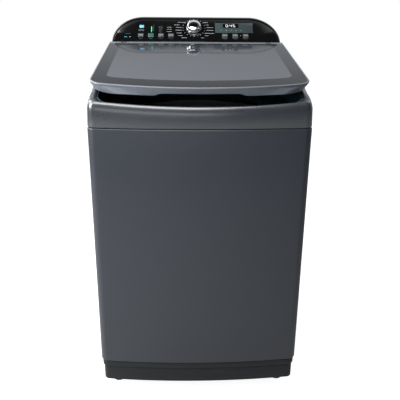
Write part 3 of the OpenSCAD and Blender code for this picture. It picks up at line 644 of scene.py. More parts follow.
def pattern_tree() -> Tree:
    """The Geometry Nodes tree that repeats a piece in columns and rows, once for the file.

    A column turns the piece about Z or shifts it along X; a row shifts it along Z.

    Returns:
        The node tree.
    """
    found = bpy.data.node_groups.get("piece_pattern")
    if found:
        return found
    tree = bpy.data.node_groups.new("piece_pattern", "GeometryNodeTree")
    tree.interface.new_socket("Geometry", in_out="INPUT", socket_type="NodeSocketGeometry")
    for name, kind in PATTERN_SOCKETS.items():
        tree.interface.new_socket(name, in_out="INPUT", socket_type=f"NodeSocket{kind}")
    tree.interface.new_socket("Geometry", in_out="OUTPUT", socket_type="NodeSocketGeometry")
    given = add_node(tree, "NodeGroupInput").outputs

    def calc(operation: str, a, b=0.0) -> Socket:
        """One Math node."""
        return add_node(tree, "ShaderNodeMath", {0: a, 1: b}, operation=operation).outputs[0]

    index = add_node(tree, "GeometryNodeInputIndex").outputs[0]
    row = calc("FLOOR", calc("DIVIDE", calc("ADD", index, 0.5), given["Columns"]))
    column = calc("SUBTRACT", index, calc("MULTIPLY", row, given["Columns"]))
    place = add_node(tree, "ShaderNodeCombineXYZ", {"X": calc("MULTIPLY", column, given["Across"]),
                                                    "Z": calc("MULTIPLY", row, given["Rise"])}).outputs[0]
    points = add_node(tree, "GeometryNodePoints", {"Count": calc("MULTIPLY", given["Columns"], given["Rows"]),
                                                   "Position": place}).outputs[0]
    turn = calc("MULTIPLY", column, given["Turn"])
    rotation = add_node(tree, "ShaderNodeCombineXYZ", {"Z": turn}).outputs[0]
    copies = add_node(tree, "GeometryNodeInstanceOnPoints", {
        "Points": points, "Instance": given["Geometry"], "Rotation": rotation}).outputs[0]
    real = add_node(tree, "GeometryNodeRealizeInstances", {"Geometry": copies}).outputs[0]
    painted = add_node(tree, "GeometryNodeSetMaterial", {
        "Geometry": real, "Material": given["Finish"]}).outputs[0]
    add_node(tree, "NodeGroupOutput", {"Geometry": painted})
    return tree


def repeated(tile: Draft, finish: Finishes, columns: int, rows: int = 1, turn: float = 0.0,
             across: float = 0.0, rise: float = 0.0) -> Mesh:
    """Repeat a shape in columns and rows.

    Args:
        tile: the shape; it is used up.
        finish: the finish of every copy.
        columns: copies in a row.
        rows: number of rows.
        turn: turn about Z from one column to the next, in radians.
        across: shift along X from one column to the next.
        rise: shift along Z from one row to the next.

    Returns:
        One plain mesh of all the copies.
    """
    host = temporary(tile)
    modifier = host.modifiers.new("pattern", "NODES")
    modifier.node_group = pattern_tree()
    values = dict(zip(PATTERN_SOCKETS, (columns, rows, turn, across, rise, finish.value.material())))
    for item in modifier.node_group.interface.items_tree:
        if item.item_type == "SOCKET" and item.name in values:
            modifier[item.identifier] = values[item.name]
    return plain_mesh(host)


def by_angle(points: Sequence[Point2], centre: Point2, count: int) -> list[Point2]:
    """Where rays from a centre meet an outline, at even angles.

    Args:
        points: a closed outline round the centre.
        centre: where the rays start.
        count: number of rays.

    Returns:
        One point on the outline for each ray.
    """
    cx, cy = centre
    out = []
    pairs = list(zip(points, points[1:] + points[:1]))
    for k in range(count):
        dx, dy = math.cos(2 * math.pi * k / count), math.sin(2 * math.pi * k / count)
        best = 0.0
        for (x0, y0), (x1, y1) in pairs:
            ex, ey = x1 - x0, y1 - y0
            cross = dx * ey - dy * ex
            if abs(cross) < 1e-12:
                continue
            far = ((x0 - cx) * ey - (y0 - cy) * ex) / cross
            along = ((x0 - cx) * dy - (y0 - cy) * dx) / cross
            if far > 0 and -1e-9 <= along <= 1 + 1e-9:
                best = max(best, far)
        out.append((cx + dx * best, cy + dy * best))
    return out


# ---------------------------------------------------------------- the machine's shared sizes

@dataclass(frozen=True)
class Sizes:
    """Sizes that more than one part of the machine needs, in millimetres and degrees."""

    width: float = 600.0
    front: float = -348.0
    back: float = 348.0
    bow: float = 16.0
    corner: float = 24.0
    plinth_z: float = 43.0
    tier_z: float = 92.0
    wrap_z: float = 114.0
    seam_z: float = 843.0
    rim_z: float = 904.0
    rim_w: float = 22.0
    rim_sag: float = 3.2
    rim_dish: float = 11.0
    rim_fall: float = 5.0
    well_back: float = 190.0
    hinge_y: float = 225.0
    hinge_z: float = 1006.909
    barrel_r: float = 8.5
    ear_x: float = 240.0
    ear_t: float = 16.0
    slope: float = 7.0
    lid_setback: float = 24.0
    lid_edge: float = 24.0
    lid_gap: float = 20.0
    side_gap: float = 3.5
    tub_y: float = -30.0
    face_y: float = 236.5
    face_z: float = 1016.409
    face_deg: float = 42.0
    face_rise: float = 75.0

    @property
    def lid_len(self) -> float:
        """Length of the lid along its slope."""
        return (self.hinge_y - self.front - self.lid_setback) / math.cos(math.radians(self.slope))

    @property
    def deck_z(self) -> float:
        """Top of the cover behind the lid."""
        return self.lip(self.hinge_y + self.barrel_r) - self.side_gap

    def lip(self, y: float) -> float:
        """Height of the lower edge of the closed lid at y."""
        slope = math.radians(self.slope)
        start = self.rim_z + self.lid_gap + self.lid_edge - self.lid_edge / math.cos(slope)
        return start + (y - self.front - self.lid_setback) * math.tan(slope)

    def rim(self, x: float, y: float) -> float:
        """Height of the cover's rim: its kinks eased, and dished along the front."""
        eased = (self._rim(y - 9) + 2 * self._rim(y) + self._rim(y + 9)) / 4
        return eased + (self.rim_dish * (x / 275) ** 2 - self.rim_sag) * self._near_front(y)

    def rim_in(self, x: float, y: float) -> float:
        """Height of the rim's inner edge, which lies lower along the front."""
        return self.rim(x, y) - self.rim_fall * self._near_front(y)

    def rim_below(self, drop: float) -> Height:
        """The height of the rim's inner edge, lowered by drop."""
        return lambda x, y: self.rim_in(x, y) - drop

    def _near_front(self, y: float) -> float:
        """1 along the front, falling to 0 over the first part of the ramp."""
        return 1 - smooth((y - self.front - 50) / 60)

    def _rim(self, y: float) -> float:
        """Find the rim's height: low in front, a ramp, then parallel to the lid.

        Args:
            y: the place from front to rear.

        Returns:
            The height before it is eased.
        """
        start, end = self.front + 40, self.front + 188
        if y <= start:
            return self.rim_z
        if y <= end:
            top = self.lip(end) - self.side_gap
            return self.rim_z + (top - self.rim_z) * (y - start) / (end - start)
        return min(self.lip(y) - self.side_gap, self.deck_z)

    def lid_place(self) -> Matrix:
        """The closed lid's own frame: X along the hinge, -Y towards the front edge."""
        return shift(0, self.hinge_y, self.hinge_z) @ tilt(self.slope)

    def face_place(self) -> Matrix:
        """The console face's own frame: X across, Y up the face, Z out of it."""
        return shift(0, self.face_y, self.face_z) @ tilt(self.face_deg)


SIZES = Sizes()
# Places along the sides that the outlines of the cover and of its well share, close together where
# the rim bends.
SIDE_STATIONS = (-290.0, -262.0, -234.0, -206.0, -178.0, -160.0, -150.0, -140.0, -120.0, -60.0, 0.0, 60.0,
                 120.0, 160.0, 176.0, 205.0, 214.0, 223.0, 232.0, 300.0)


# ---------------------------------------------------------------- cabinet and base

@dataclass
class Cabinet:
    """The sheet steel wrap, the rear panel, the plinth and its feet."""

    sizes: Sizes = SIZES
    sheet: float = 1.2
    edge_round: float = 3.0
    hem: float = 12.0
    seam_gap: float = 1.0
    tier_in: tuple[float, float] = (7.0, 3.5)
    tier_round: float = 2.0
    tier_gap: float = 1.2
    louvre: tuple[float, float, float] = (130.0, 1.4, 9.0)
    louvre_rows: int = 12
    louvre_step: Point2 = (180.0, 30.0)
    screw_rows: int = 6
    screw_in: Point2 = (12.0, 14.0)
    foot_r: float = 20.5
    foot_x: float = 255.0
    foot_y: float = 258.0
    foot_h: float = 43.0

    def plan(self) -> Plan:
        """The cabinet's plan outline."""
        s = self.sizes
        return Plan(s.width, s.front, s.back, s.bow, s.corner, 3.0, (-280.0, 0.0, 300.0))

    def build(self) -> None:
        """Build every piece of the cabinet."""
        self.wrap()
        self.rear_panel()
        self.plinth()
        for side, name in ((-1, "left"), (1, "right")):
            self.foot(f"front_foot_{name}_pad", [(side * self.foot_x, -self.foot_y)], f"foot_{name}",
                      [f"front_foot_{name}"])
        self.foot("rear_feet_pads", [(-self.foot_x, self.foot_y), (self.foot_x, self.foot_y)], "cabinet",
                  ["rear_feet"])

    def wrap(self) -> None:
        """The folded sheet, with both horizontal edges rolled inwards."""
        s, r = self.sizes, self.edge_round
        plan, back = self.plan(), s.back - self.sheet - 0.1
        low, high, hem = s.wrap_z + self.seam_gap, s.seam_z - self.seam_gap, r + self.hem
        draft = Draft("cabinet_sheet")
        rings = [plan.at(hem, low, back)] + plan.lower_edge(0, low, r, back=back)
        rings += [plan.at(0, z, back) for z in (low + 200, (low + high) / 2, high - 200)]
        rings += plan.upper_edge(0, high, r, back=back)
        rings += [plan.at(inset, z, back) for inset, z in (
            (hem, high), (hem, high - self.sheet), (self.sheet, high - self.sheet),
            (self.sheet, low + self.sheet), (hem, low + self.sheet))]
        draft.shell(rings, loop=True)
        draft.finish([Finishes.SHEET], "cabinet", replaces=["cabinet_wrap"], slot="cabinet_paint")

    def rear_panel(self) -> None:
        """The pressed rear panel: a raised field, two columns of louvres and a row of screws."""
        s = self.sizes
        draft = Draft("rear_panel_sheet")
        half, low, high = s.width / 2 - 6, s.wrap_z + 4, s.seam_z - 4
        back = s.back - self.sheet
        draft.block((0, back + 0.2, (low + high) / 2), (2 * half, 0.8, high - low))
        draft.block((0, back + 0.55, (low + high) / 2), (2 * half - 60, 1.2, high - low - 70), 0.5, steps=2)
        across, rise = self.louvre_step
        louvre = Draft("louvre")
        louvre.block((-across / 2, s.back - 0.75, s.wrap_z + 130), self.louvre, 0.6, steps=2)
        draft.add(repeated(louvre, Finishes.GALVANISED, 2, self.louvre_rows, across=across, rise=rise), 0)
        screw = Draft("screw")
        screw.turned([(0, 0), (4.5, 0), (4.5, -0.6), (3.6, -1.2), (0, -1.4)], 20)
        in_x, in_z = self.screw_in
        screw.move(shift(-half + in_x, back - 0.8, low + in_z), tilt(90), shift(0, 0, 0.6))
        draft.add(repeated(screw, Finishes.STEEL, 2, self.screw_rows, across=2 * (half - in_x),
                           rise=(high - low - 2 * in_z) / (self.screw_rows - 1)), 1)
        draft.finish([Finishes.GALVANISED, Finishes.STEEL], "cabinet", replaces=["rear_panel"],
                     slot="galvanised")

    def plinth(self) -> None:
        """The moulded plinth: two tiers, each with an eased edge."""
        s, r, step = self.sizes, self.tier_round, self.tier_gap
        plan = self.plan()
        draft = Draft("plinth_shell")
        rings = []
        for inset, low, high in zip(self.tier_in, (s.plinth_z, s.tier_z + step), (s.tier_z, s.wrap_z)):
            rings += plan.lower_edge(inset, low, r, 3) + plan.upper_edge(inset, high, r, 3)
            if high == s.tier_z:
                rings += [plan.at(inset + r + 0.6, high), plan.at(inset + r + 0.6, high + step)]
        floor = s.plinth_z + 3.2
        rings += [plan.at(14, s.wrap_z), plan.at(14, floor), plan.at(70, floor), plan.at(70, s.plinth_z)]
        draft.shell(rings, loop=True)
        outlet = Draft("outlet_cutter")
        outlet.turned([(0, 0), (18, 0), (18, 40), (0, 40)], 48)
        outlet.move(shift(-150, s.back + 10, 85), tilt(90))
        carved(draft, outlet).finish([Finishes.PLINTH], "cabinet", replaces=["base_frame"],
                                     slot="base_plastic")

    def foot(self, name: str, places: Sequence[Point2], body: str, replaces: Sequence[str]) -> None:
        """Levelling feet: a rubber pad, a moulded collar, a lock nut and a stem.

        Args:
            name: the piece's name.
            places: where the feet stand.
            body: the body they move with.
            replaces: the constructed nodes they stand for.
        """
        draft = Draft(name)
        r, top = self.foot_r, self.foot_h
        for x, y in places:
            part = Draft(name)
            part.turned([(0, 0), (r - 2, 0), (r - 0.6, 0.5), (r, 1.8), (r, 7), (r - 0.8, 8.4), (r - 2.4, 9),
                         (r - 2.4, 10.4), (r - 1.8, 11.2), (r - 1.8, top - 16), (r - 3.4, top - 13),
                         (14, top - 9), (14, top - 8.2), (0, top - 8.2)], 64, slots=(0,) * 7 + (1,) * 6)
            part.turned([(0, top - 8.3), (12.8, top - 8.3), (12.8, top - 1.4), (0, top - 1.4)], 6,
                        slots=(2,) * 3)
            part.turned([(0, top - 2), (4.9, top - 2), (4.9, top + 34), (3.9, top + 36), (0, top + 36)], 24,
                        slots=(2,) * 4)
            part.move(shift(x, y, 0))
            draft.add(part.mesh())
        draft.finish([Finishes.RUBBER, Finishes.BLACK, Finishes.STEEL], body, replaces=replaces,
                     slot="rubber_black")


# ---------------------------------------------------------------- top cover and well

@dataclass
class TopCover:
    """The moulded cover with its rim, rear deck, hinge ears and inlet pocket, and the well's lining."""

    sizes: Sizes = SIZES
    seam_inset: float = 0.8
    draft_in: float = 1.6
    well_corner: float = 52.0
    inner_round: float = 3.0
    wall: float = 3.0
    groove: float = 2.4
    mouth_r: float = 190.0
    floor_lift: float = 19.0
    rays: int = 240
    # How far behind the front edge, with the width and height of the rim's outer rounding there.
    shoulders: tuple[tuple[float, Point2], ...] = (
        (40, (11.0, 27.0)), (65, (7.0, 16.0)), (90, (4.0, 9.0)), (230, (3.5, 6.0)))
    inlets: tuple[Point2, Point2] = ((118.0, 905.0), (238.0, 965.0))
    inlet_depth: float = 44.0

    def build(self) -> None:
        """Build the cover and the lining."""
        self.cover()
        self.lining()

    def plan(self) -> Plan:
        """The cover's plan outline."""
        s = self.sizes
        return Plan(s.width, s.front, s.back, s.bow, s.corner, 5.0, SIDE_STATIONS)

    def well(self, inset: float) -> list[Point2]:
        """The outline of the well, in step with the cover's outline."""
        s = self.sizes
        return Plan(s.width - 2 * s.rim_w, s.front + s.rim_w, s.well_back, s.bow, self.well_corner, 12.0,
                    SIDE_STATIONS).points(inset)

    def cover(self) -> None:
        """The cover: outer wall, rounded rim, and the edge of the well."""
        s, q = self.sizes, self.inner_round
        plan, rim = self.plan(), s.rim_below
        outer, inner = plan.points(0.0), plan.points(10.0)
        rounds = [self.shoulder(y) for _, y in outer]

        def shoulder(turn: float) -> list[tuple]:
            """Lay out one ring of the shoulder, whose rounding differs from point to point.

            Args:
                turn: how far round the shoulder, from 0 at the wall to a right angle on top.

            Returns:
                The ring's points.
            """
            out = []
            for (x0, y0), (x1, y1), (wide, tall) in zip(outer, inner, rounds):
                share = (self.seam_inset + self.draft_in + wide * (1 - math.cos(turn))) / 10
                x, y = x0 + (x1 - x0) * share, y0 + (y1 - y0) * share
                out.append((x, y, s.rim(x, y) - tall * (1 - math.sin(turn))))
            return out

        base, low, edge = s.seam_z + 0.6, self.seam_inset + self.groove, 1.2
        rings = [plan.at(low, base), plan.at(low, base + 1.4)]
        rings += plan.lower_edge(self.seam_inset, base + 1.4, edge, 2)
        rings += [shoulder(math.pi / 2 * i / 10) for i in range(11)]
        rings += [level(self.well(-q + x), rim(q - y)) for x, y in reversed(rounding(q, 0, 90, 4))]
        rings += [level(self.well(0), rim(q + 4)), level(self.well(-self.wall), rim(q + 4)),
                  plan.at(low + 14, rim(self.wall + 5)), plan.at(low + self.wall, rim(45)),
                  plan.at(low + self.wall, base)]
        draft = Draft("top_cover_shell")
        draft.shell(rings, loop=True)
        draft = carved(draft, self._rear_cutter())
        self._pocket(draft)
        for side in (-1, 1):
            self._ear(draft, side)
        draft.finish([Finishes.COVER, Finishes.BLACK], "cabinet", replaces=["top_cover"],
                     slot="cover_plastic")

    def shoulder(self, y: float) -> Point2:
        """Find the size of the rim's outer rounding: broad in front, tight behind.

        Args:
            y: the place from front to rear.

        Returns:
            The rounding's width and height.
        """
        behind = y - self.sizes.front
        start, kind = self.shoulders[0]
        for end, wanted in self.shoulders[1:]:
            if behind <= end:
                ease = smooth((behind - start) / (end - start))
                return tuple(a + (b - a) * ease for a, b in zip(kind, wanted))
            start, kind = end, wanted
        return kind

    def _rear_cutter(self) -> Draft:
        """What is cut from the cover: the inlet pocket's mouth and the striker's slot."""
        cutter = Draft("cover_cutter")
        cutter.block((178, self.sizes.back, 935), (120, 20, 60))
        cutter.block((290.5, -4.0, 960), (8.8, 18, 40))
        return cutter

    def _pocket(self, draft: Draft) -> None:
        """Line the inlet pocket with an open box.

        Args:
            draft: the cover.
        """
        (x0, z0), (x1, z1) = self.inlets
        rings = []
        for out, deep in ((0, self.inlet_depth), (0, 0.05), (1.5, 0.05), (1.5, self.inlet_depth + 1.5)):
            y = self.sizes.back - deep
            rings.append([(x0 - out, y, z0 - out), (x1 + out, y, z0 - out),
                          (x1 + out, y, z1 + out), (x0 - out, y, z1 + out)])
        draft.shell(rings, (1, 1, 1), start_cap=1, end_cap=1)

    def _ear(self, draft: Draft, side: int) -> None:
        """Add one hinge ear: a rounded upright that holds the lid's pin.

        Args:
            draft: the cover.
            side: -1 on the left, 1 on the right.
        """
        s = self.sizes
        r, low = s.barrel_r - 0.6, s.deck_z - 6 - s.hinge_z
        profile = [(-r, low)] + rounding(r, 180, 0, 20) + [(r, low)]
        rings = [[(side * x, s.hinge_y + py, s.hinge_z + pz) for py, pz in profile]
                 for x in (s.ear_x, s.ear_x + s.ear_t)]
        draft.shell(rings, start_cap=0, end_cap=0)

    def lining(self) -> None:
        """The well's lining: an upright wall, a floor and a funnel down to the mouth."""
        s = self.sizes
        centre, floor = (0.0, s.tub_y), s.seam_z + self.floor_lift
        draft = Draft("well_lining")

        def wall(*steps: tuple[float, Height]) -> list[list[tuple]]:
            """Outlines of the upright wall, each with its inset and height."""
            return [level(by_angle(self.well(inset), centre, self.rays), z) for inset, z in steps]

        rings = wall(*((inset, s.rim_below(drop)) for inset, drop in (
            (0.4, 2.2), (1, 1.6), (2.2, 1.6), (2.8, 2.4))))
        rings += wall(*((inset, floor + up) for inset, up in ((3.6, 9), (5.5, 4), (8.6, 1), (13, 0))))
        rings += [level(arc(*centre, self.mouth_r + out, 0, 2 * math.pi, self.rays)[:-1], floor - down)
                  for out, down in ((15, 0), (10.5, 1.4), (7, 5), (0.6, 14), (0, 15.6), (3, 15.8), (13, 3))]
        rings += wall((0.4, floor - 2.6))
        draft.shell(rings, loop=True)
        cutter = Draft("drawer_cutter")
        cutter.block((0, s.well_back, 945), (226, 24, 112))
        carved(draft, cutter).finish([Finishes.DECK], "cabinet", replaces=["inner_deck"], slot="deck_black")


# ---------------------------------------------------------------- lid

@dataclass
class Lid:
    """The lid: a painted frame with a glass pane, printed with a dark border."""

    sizes: Sizes = SIZES
    width: float = 596.0
    bow: float = 34.0
    corner: float = 52.0
    lip_in: float = 6.0
    lip_front: float = 3.0
    lip_bow: float = 15.0
    lip_corner: float = 92.0
    top_round: float = 3.0
    border: float = 41.0
    front_border: float = 69.0
    rear_border: float = 40.0
    pane_back: float = -22.5
    notch_half: float = 119.0
    notch_h: float = 6.0
    notch_slant: float = 14.0

    def plan(self) -> Plan:
        """The lid's plan outline, in its own frame."""
        return Plan(self.width, -self.sizes.lid_len, 0.0, self.bow, self.corner, 4.0, self.stations())

    def lip(self) -> Plan:
        """The outline of the lip's lower edge, drawn in at the front corners like a boat's bow."""
        return Plan(self.width - 2 * self.lip_in, -self.sizes.lid_len + self.lip_front, 0.0, self.lip_bow,
                    self.lip_corner, 4.0, self.stations())

    def stations(self) -> tuple[float, ...]:
        """Places along the lid's sides that every outline shares."""
        return tuple(-438.0 + 36 * i for i in range(12)) + (-22.5, -10.0)

    def build(self) -> None:
        """Build the frame and the pane."""
        self.frame()
        self.pane()

    def lower(self, lift: float) -> Height:
        """Shape the lower edge, raised over the handle notch and level with the barrel at the rear.

        Args:
            lift: how far above the edge's lowest line.

        Returns:
            The height as a function of x and y.
        """
        s = self.sizes

        def height(x: float, y: float) -> float:
            """Height at one place."""
            low = s.barrel_r - s.lid_edge + lift
            if y < -s.lid_len + 50:
                low += self.notch_h * min(max((self.notch_half - abs(x)) / self.notch_slant, 0.0), 1.0)
            if y > -60:
                low += (s.lid_edge - 2 * s.barrel_r) * min((y + 60) / 20, 1.0)
            return low
        return height

    def frame(self) -> None:
        """The frame: a lip that widens upwards, a ledge under the pane and the hinge barrel."""
        s, r = self.sizes, self.top_round
        plan, lip = self.plan(), self.lip()
        top, ledge = s.barrel_r, self.border - 4
        draft = Draft("lid_frame_shell")
        rings = [lip.at(inset, self.lower(lift)) for inset, lift in (
            (5.0, 1.0), (1.6, 0.0), (0.5, 0.5), (0.0, 1.8))]
        rings += [plan.at(1.0, top - r - 3.4), plan.at(0.2, top - r - 1.0)]
        rings += plan.upper_edge(0, top - 0.05, r, 6)
        rings += [plan.at(inset, top - down) for inset, down in (
            (r + 1.2, 0.05), (r + 1.6, 0.9), (ledge, 4.4), (ledge, 8.0), (8.5, 9.0))]
        draft.shell(rings, (2,) + (0,) * (len(rings) - 3) + (2, 2), loop=True)
        self._barrels(draft)
        draft = carved(draft, self._ear_gaps())
        draft.finish([Finishes.LIP, Finishes.BLACK, Finishes.BLACK], "lid", s.lid_place(),
                     replaces=["lid_frame"], slot="cover_plastic")

    def _barrels(self, draft: Draft) -> None:
        """The hinge barrel along the rear edge, and the trim strip that meets the pane."""
        r, end = self.sizes.barrel_r - 0.1, self.width / 2 - 3
        draft.shell([[(x, y, z) for y, z in circle(r, 28)] for x in (-end, end)], start_cap=0, end_cap=0)
        draft.block((0, self.pane_back / 2 - 1, r - 3.6), (2 * end, -self.pane_back - 0.6, 7.0), 0.8, steps=2)

    def _ear_gaps(self) -> Draft:
        """What the hinge ears need cut from the frame."""
        s, cutter = self.sizes, Draft("ear_cutter")
        for side in (-1, 1):
            cutter.block((side * (s.ear_x + s.ear_t / 2), -2.0, 0.0), (s.ear_t + 2, 37.0, 60.0))
        return cutter

    def pane(self) -> None:
        """The glass pane: a ground edge, a printed border and a lighter window."""
        s = self.sizes
        plan = self.plan()
        top = s.barrel_r - 0.25
        edge = self.top_round + 1.4
        window = Plan(self.width - 2 * self.border, -s.lid_len + self.front_border, -self.rear_border,
                      self.bow * 0.85, 30.0, 26.0, tuple(-400.0 + 28 * i for i in range(12)) + (-70.0, -60.0))
        draft = Draft("lid_pane")
        back = self.pane_back + edge
        rings = [plan.at(edge + 0.2, top - 3.8, back), plan.at(edge, top - 0.7, back),
                 plan.at(edge + 0.7, top, back), window.at(0, top), window.at(24, top)]
        made = draft.shell(rings, (0, 0, 0, 1), start_cap=2)
        draft.cap(made[-1], 1)
        draft.finish([Finishes.GLASS_BORDER, Finishes.GLASS_WINDOW, Finishes.BLACK], "lid", s.lid_place(),
                     replaces=["lid_glass"], slot="glass_tinted")


# ---------------------------------------------------------------- console and its controls

@dataclass(frozen=True)
class Mark:
    """A flat printed or lit mark on the console's face: its middle and its size."""

    u: float
    v: float
    w: float
    h: float


@dataclass
class Console:
    """The sloping console: an arched housing, a polished panel, a display and printed marks."""

    sizes: Sizes = SIZES
    width: float = 584.0
    arch_w: float = 106.0
    edge_round: float = 5.0
    border: float = 3.2
    panel_lift: float = 0.35
    display: Mark = Mark(133.0, 63.0, 133.0, 46.0)
    power: Mark = Mark(-191.0, 68.0, 16.0, 13.0)
    left: tuple[float, ...] = (-193.0, -158.0, -123.0, -88.0)
    right: tuple[float, ...] = (100.0, 136.5, 173.0)
    left_v: float = 27.0
    right_v: float = 25.0
    left_key: Point2 = (20.0, 18.0)
    right_key: Point2 = (20.0, 22.0)
    key_gap: float = 0.8
    knob_at: Point2 = (-8.0, 62.0)
    dial_r: float = 39.0
    dial_dots: int = 20
    labels: tuple[tuple[float, float, float], ...] = (
        (-50, 88, 30), (-68, 76, 18), (-61, 64, 19), (-62, 51, 22), (-60, 38, 16), (-56, 26, 15),
        (-42, 16, 20), (33, 88, 17), (40, 76, 12), (48, 64, 24), (48, 51, 24), (46, 37, 34), (36, 26, 14),
        (22, 16, 12))

    def build(self) -> None:
        """Build the housing, the panel and everything printed or lit on it."""
        self.housing()
        self.panel()
        self.display_window()
        self.marks()

    def keys(self) -> list[Mark]:
        """Every push button's place and size on the face."""
        return ([Mark(u, self.left_v, *self.left_key) for u in self.left]
                + [Mark(u, self.right_v, *self.right_key) for u in self.right] + [self.power])

    def outline(self, inset: float, low: float = 0.0) -> list[Point2]:
        """The arch in x and z, open side down: elliptical shoulders and a level top.

        Args:
            inset: how far inwards.
            low: how far the foot of the outline lies above the face's lower edge.

        Returns:
            Points clockwise from the left foot.
        """
        s = self.sizes
        half, rise, run = self.width / 2 - inset, s.face_rise - inset - low, self.arch_w
        foot = s.face_z + low
        left = [(-half + run * (1 - x), foot + rise * z) for x, z in rounding(1, 0, 90, 24)]
        top = [(-half + run + (2 * half - 2 * run) * i / 8, foot + rise) for i in range(1, 8)]
        return left + top + [(-x, z) for x, z in reversed(left)]

    def on_face(self, inset: float, low: float = 0.0, out: float = 0.0, back: float = 0.0) -> list[tuple]:
        """The arch laid on the face's plane, moved out of it and then straight back along Y."""
        return [(x, self.on_slope(z, out) + back, z) for x, z in self.outline(inset, low)]

    def on_slope(self, z: float, out: float = 0.0) -> float:
        """Find the face's plane.

        Args:
            z: the height.
            out: how far out of the face.

        Returns:
            The plane's y at that height.
        """
        s = self.sizes
        lean = math.radians(s.face_deg)
        return s.face_y + (z - s.face_z) / math.tan(lean) - out / math.sin(lean)

    def housing(self) -> None:
        """The arch, its front edge eased, on a low base."""
        s, r = self.sizes, self.edge_round
        draft = Draft("console_shell")
        rings = [self.on_face(r + self.border, 3.0), self.on_face(r)]
        rings += [self.on_face(r - x, back=(r - y) * 0.9) for x, y in rounding(r, 75, 0, 5)]
        rings += [[(x, s.back - r + out, z) for x, z in self.outline(r - x_in)]
                  for x_in, out in rounding(r, 0, 90, 4)]
        draft.shell(rings, start_cap=0, end_cap=0)
        depth = s.back - s.face_y
        draft.block((0, s.face_y + depth / 2, (s.deck_z + s.face_z) / 2 + 0.2),
                    (self.width, depth, s.face_z - s.deck_z), 1.2, steps=2)
        draft.finish([Finishes.PIANO], "cabinet", replaces=["console_housing"], slot="black_gloss", crease=40)

    def panel(self) -> None:
        """The polished panel, with a hole for each push button."""
        lift, edge = self.panel_lift, self.edge_round + self.border
        draft = Draft("console_face")
        draft.shell([self.on_face(edge, 3.0, -2.6), self.on_face(edge, 3.0, lift - 0.3),
                     self.on_face(edge + 0.3, 3.0, lift)], start_cap=0, end_cap=0)
        cutter = Draft("key_cutter")
        for key in self.keys():
            cutter.block((key.u, key.v, 0), (key.w + self.key_gap, key.h + self.key_gap, 12))
        cutter.move(self.sizes.face_place())
        carved(draft, cutter).finish([Finishes.PIANO], "cabinet", replaces=["console_panel"],
                                     slot="black_gloss")

    def display_window(self) -> None:
        """The smoked window, its darker field and the lit digits."""
        place, lift = self.display, self.panel_lift
        draft = Draft("display_glass")
        draft.block((place.u, place.v, lift - 0.35), (place.w, place.h, 0.9), 0.2, steps=2)
        draft.block((place.u - 11, place.v + 10, lift + 0.12), (56, 19, 0.1), slot=1)
        self._digits(draft, place.u - 13, place.v + 10, lift + 0.2)
        for i in range(5):
            self._flat(draft, Mark(place.u - 44 + 17 * i, place.v - 11, 6, 1.4), lift + 0.16, 3)
        draft.finish([Finishes.SMOKED, Finishes.SMOKED_DARK, Finishes.DIGIT, Finishes.INK], "cabinet",
                     self.sizes.face_place(), replaces=["display_window"], slot="display_glass")

    def _digits(self, draft: Draft, u: float, v: float, w: float) -> None:
        """Draw a plain time, 0:45, in seven segments.

        Args:
            draft: the display.
            u: the middle across the face.
            v: the middle up the face.
            w: how far out of the face.
        """
        high, wide, thick = 11.0, 6.0, 1.3
        bars = {"a": (0, 1, 1), "b": (1, 0.5, 0), "c": (1, -0.5, 0), "d": (0, -1, 1), "e": (-1, -0.5, 0),
                "f": (-1, 0.5, 0), "g": (0, 0, 1)}
        for i, lit in enumerate(("abcdef", "bcfg", "acdfg")):
            at = u - 12 + 11 * i + (3 if i else 0)
            for key in lit:
                du, dv, flat = bars[key]
                size = (wide - 1.2, thick) if flat else (thick, high / 2 - 0.6)
                self._flat(draft, Mark(at + du * wide / 2, v + dv * high / 2, *size), w, 2)
        for dv in (-2.4, 2.4):
            self._flat(draft, Mark(u - 5.2, v + dv, 1.3, 1.3), w, 2)

    def _flat(self, draft: Draft, mark: Mark, w: float, slot: int) -> None:
        """A thin raised rectangle."""
        draft.block((mark.u, mark.v, w), (mark.w, mark.h, 0.08), slot=slot)

    def marks(self) -> None:
        """Scales, dashes and lamps printed on the panel, and the ring of dots round the knob."""
        w = self.panel_lift + 0.06
        draft = Draft("console_marks")
        ink, dim, blue, green = 0, 1, 2, 3
        flat = [(Mark(-192, 51, 19, 8), dim), (Mark(-156.5, 55, 3.0, 26), green)]
        flat += [(Mark(-149, 47 + 5 * i, 4.5, 1.4), dim) for i in range(6)]
        flat += [(Mark(-125, 41 + 5.5 * i, 10.0 + 1.2 * i, 1.6), dim) for i in range(6)]
        flat += [(Mark(-94, v, 17, 1.5), ink) for v in (44, 55, 65)]
        flat += [(Mark(key.u, 11.5, 13, 1.2), dim) for key in self.keys()[:-1]]
        flat += [(Mark(u, v, wide, 1.7), ink) for u, v, wide in self.labels]
        flat += [(Mark(154.5, 27, 3.0, 3.0), ink), (Mark(-238, 34, 20, 1.4), dim)]
        flat += [(Mark(u, 19, wide, 1.5), blue) for u, wide in ((-245, 10), (-230, 6))]
        for mark, slot in flat:
            self._flat(draft, mark, w, slot)
        dot = Draft("dot")
        dot.block((0, self.dial_r, 0), (2.2, 2.2, 0.1))
        ring = repeated(dot, Finishes.INK, self.dial_dots, turn=2 * math.pi / self.dial_dots)
        ring.transform(shift(*self.knob_at, w))
        draft.add(ring, ink)
        draft.finish([Finishes.INK, Finishes.INK_DIM, Finishes.LAMP_BLUE, Finishes.LAMP_GREEN], "cabinet",
                     self.sizes.face_place(), slot="black_gloss")


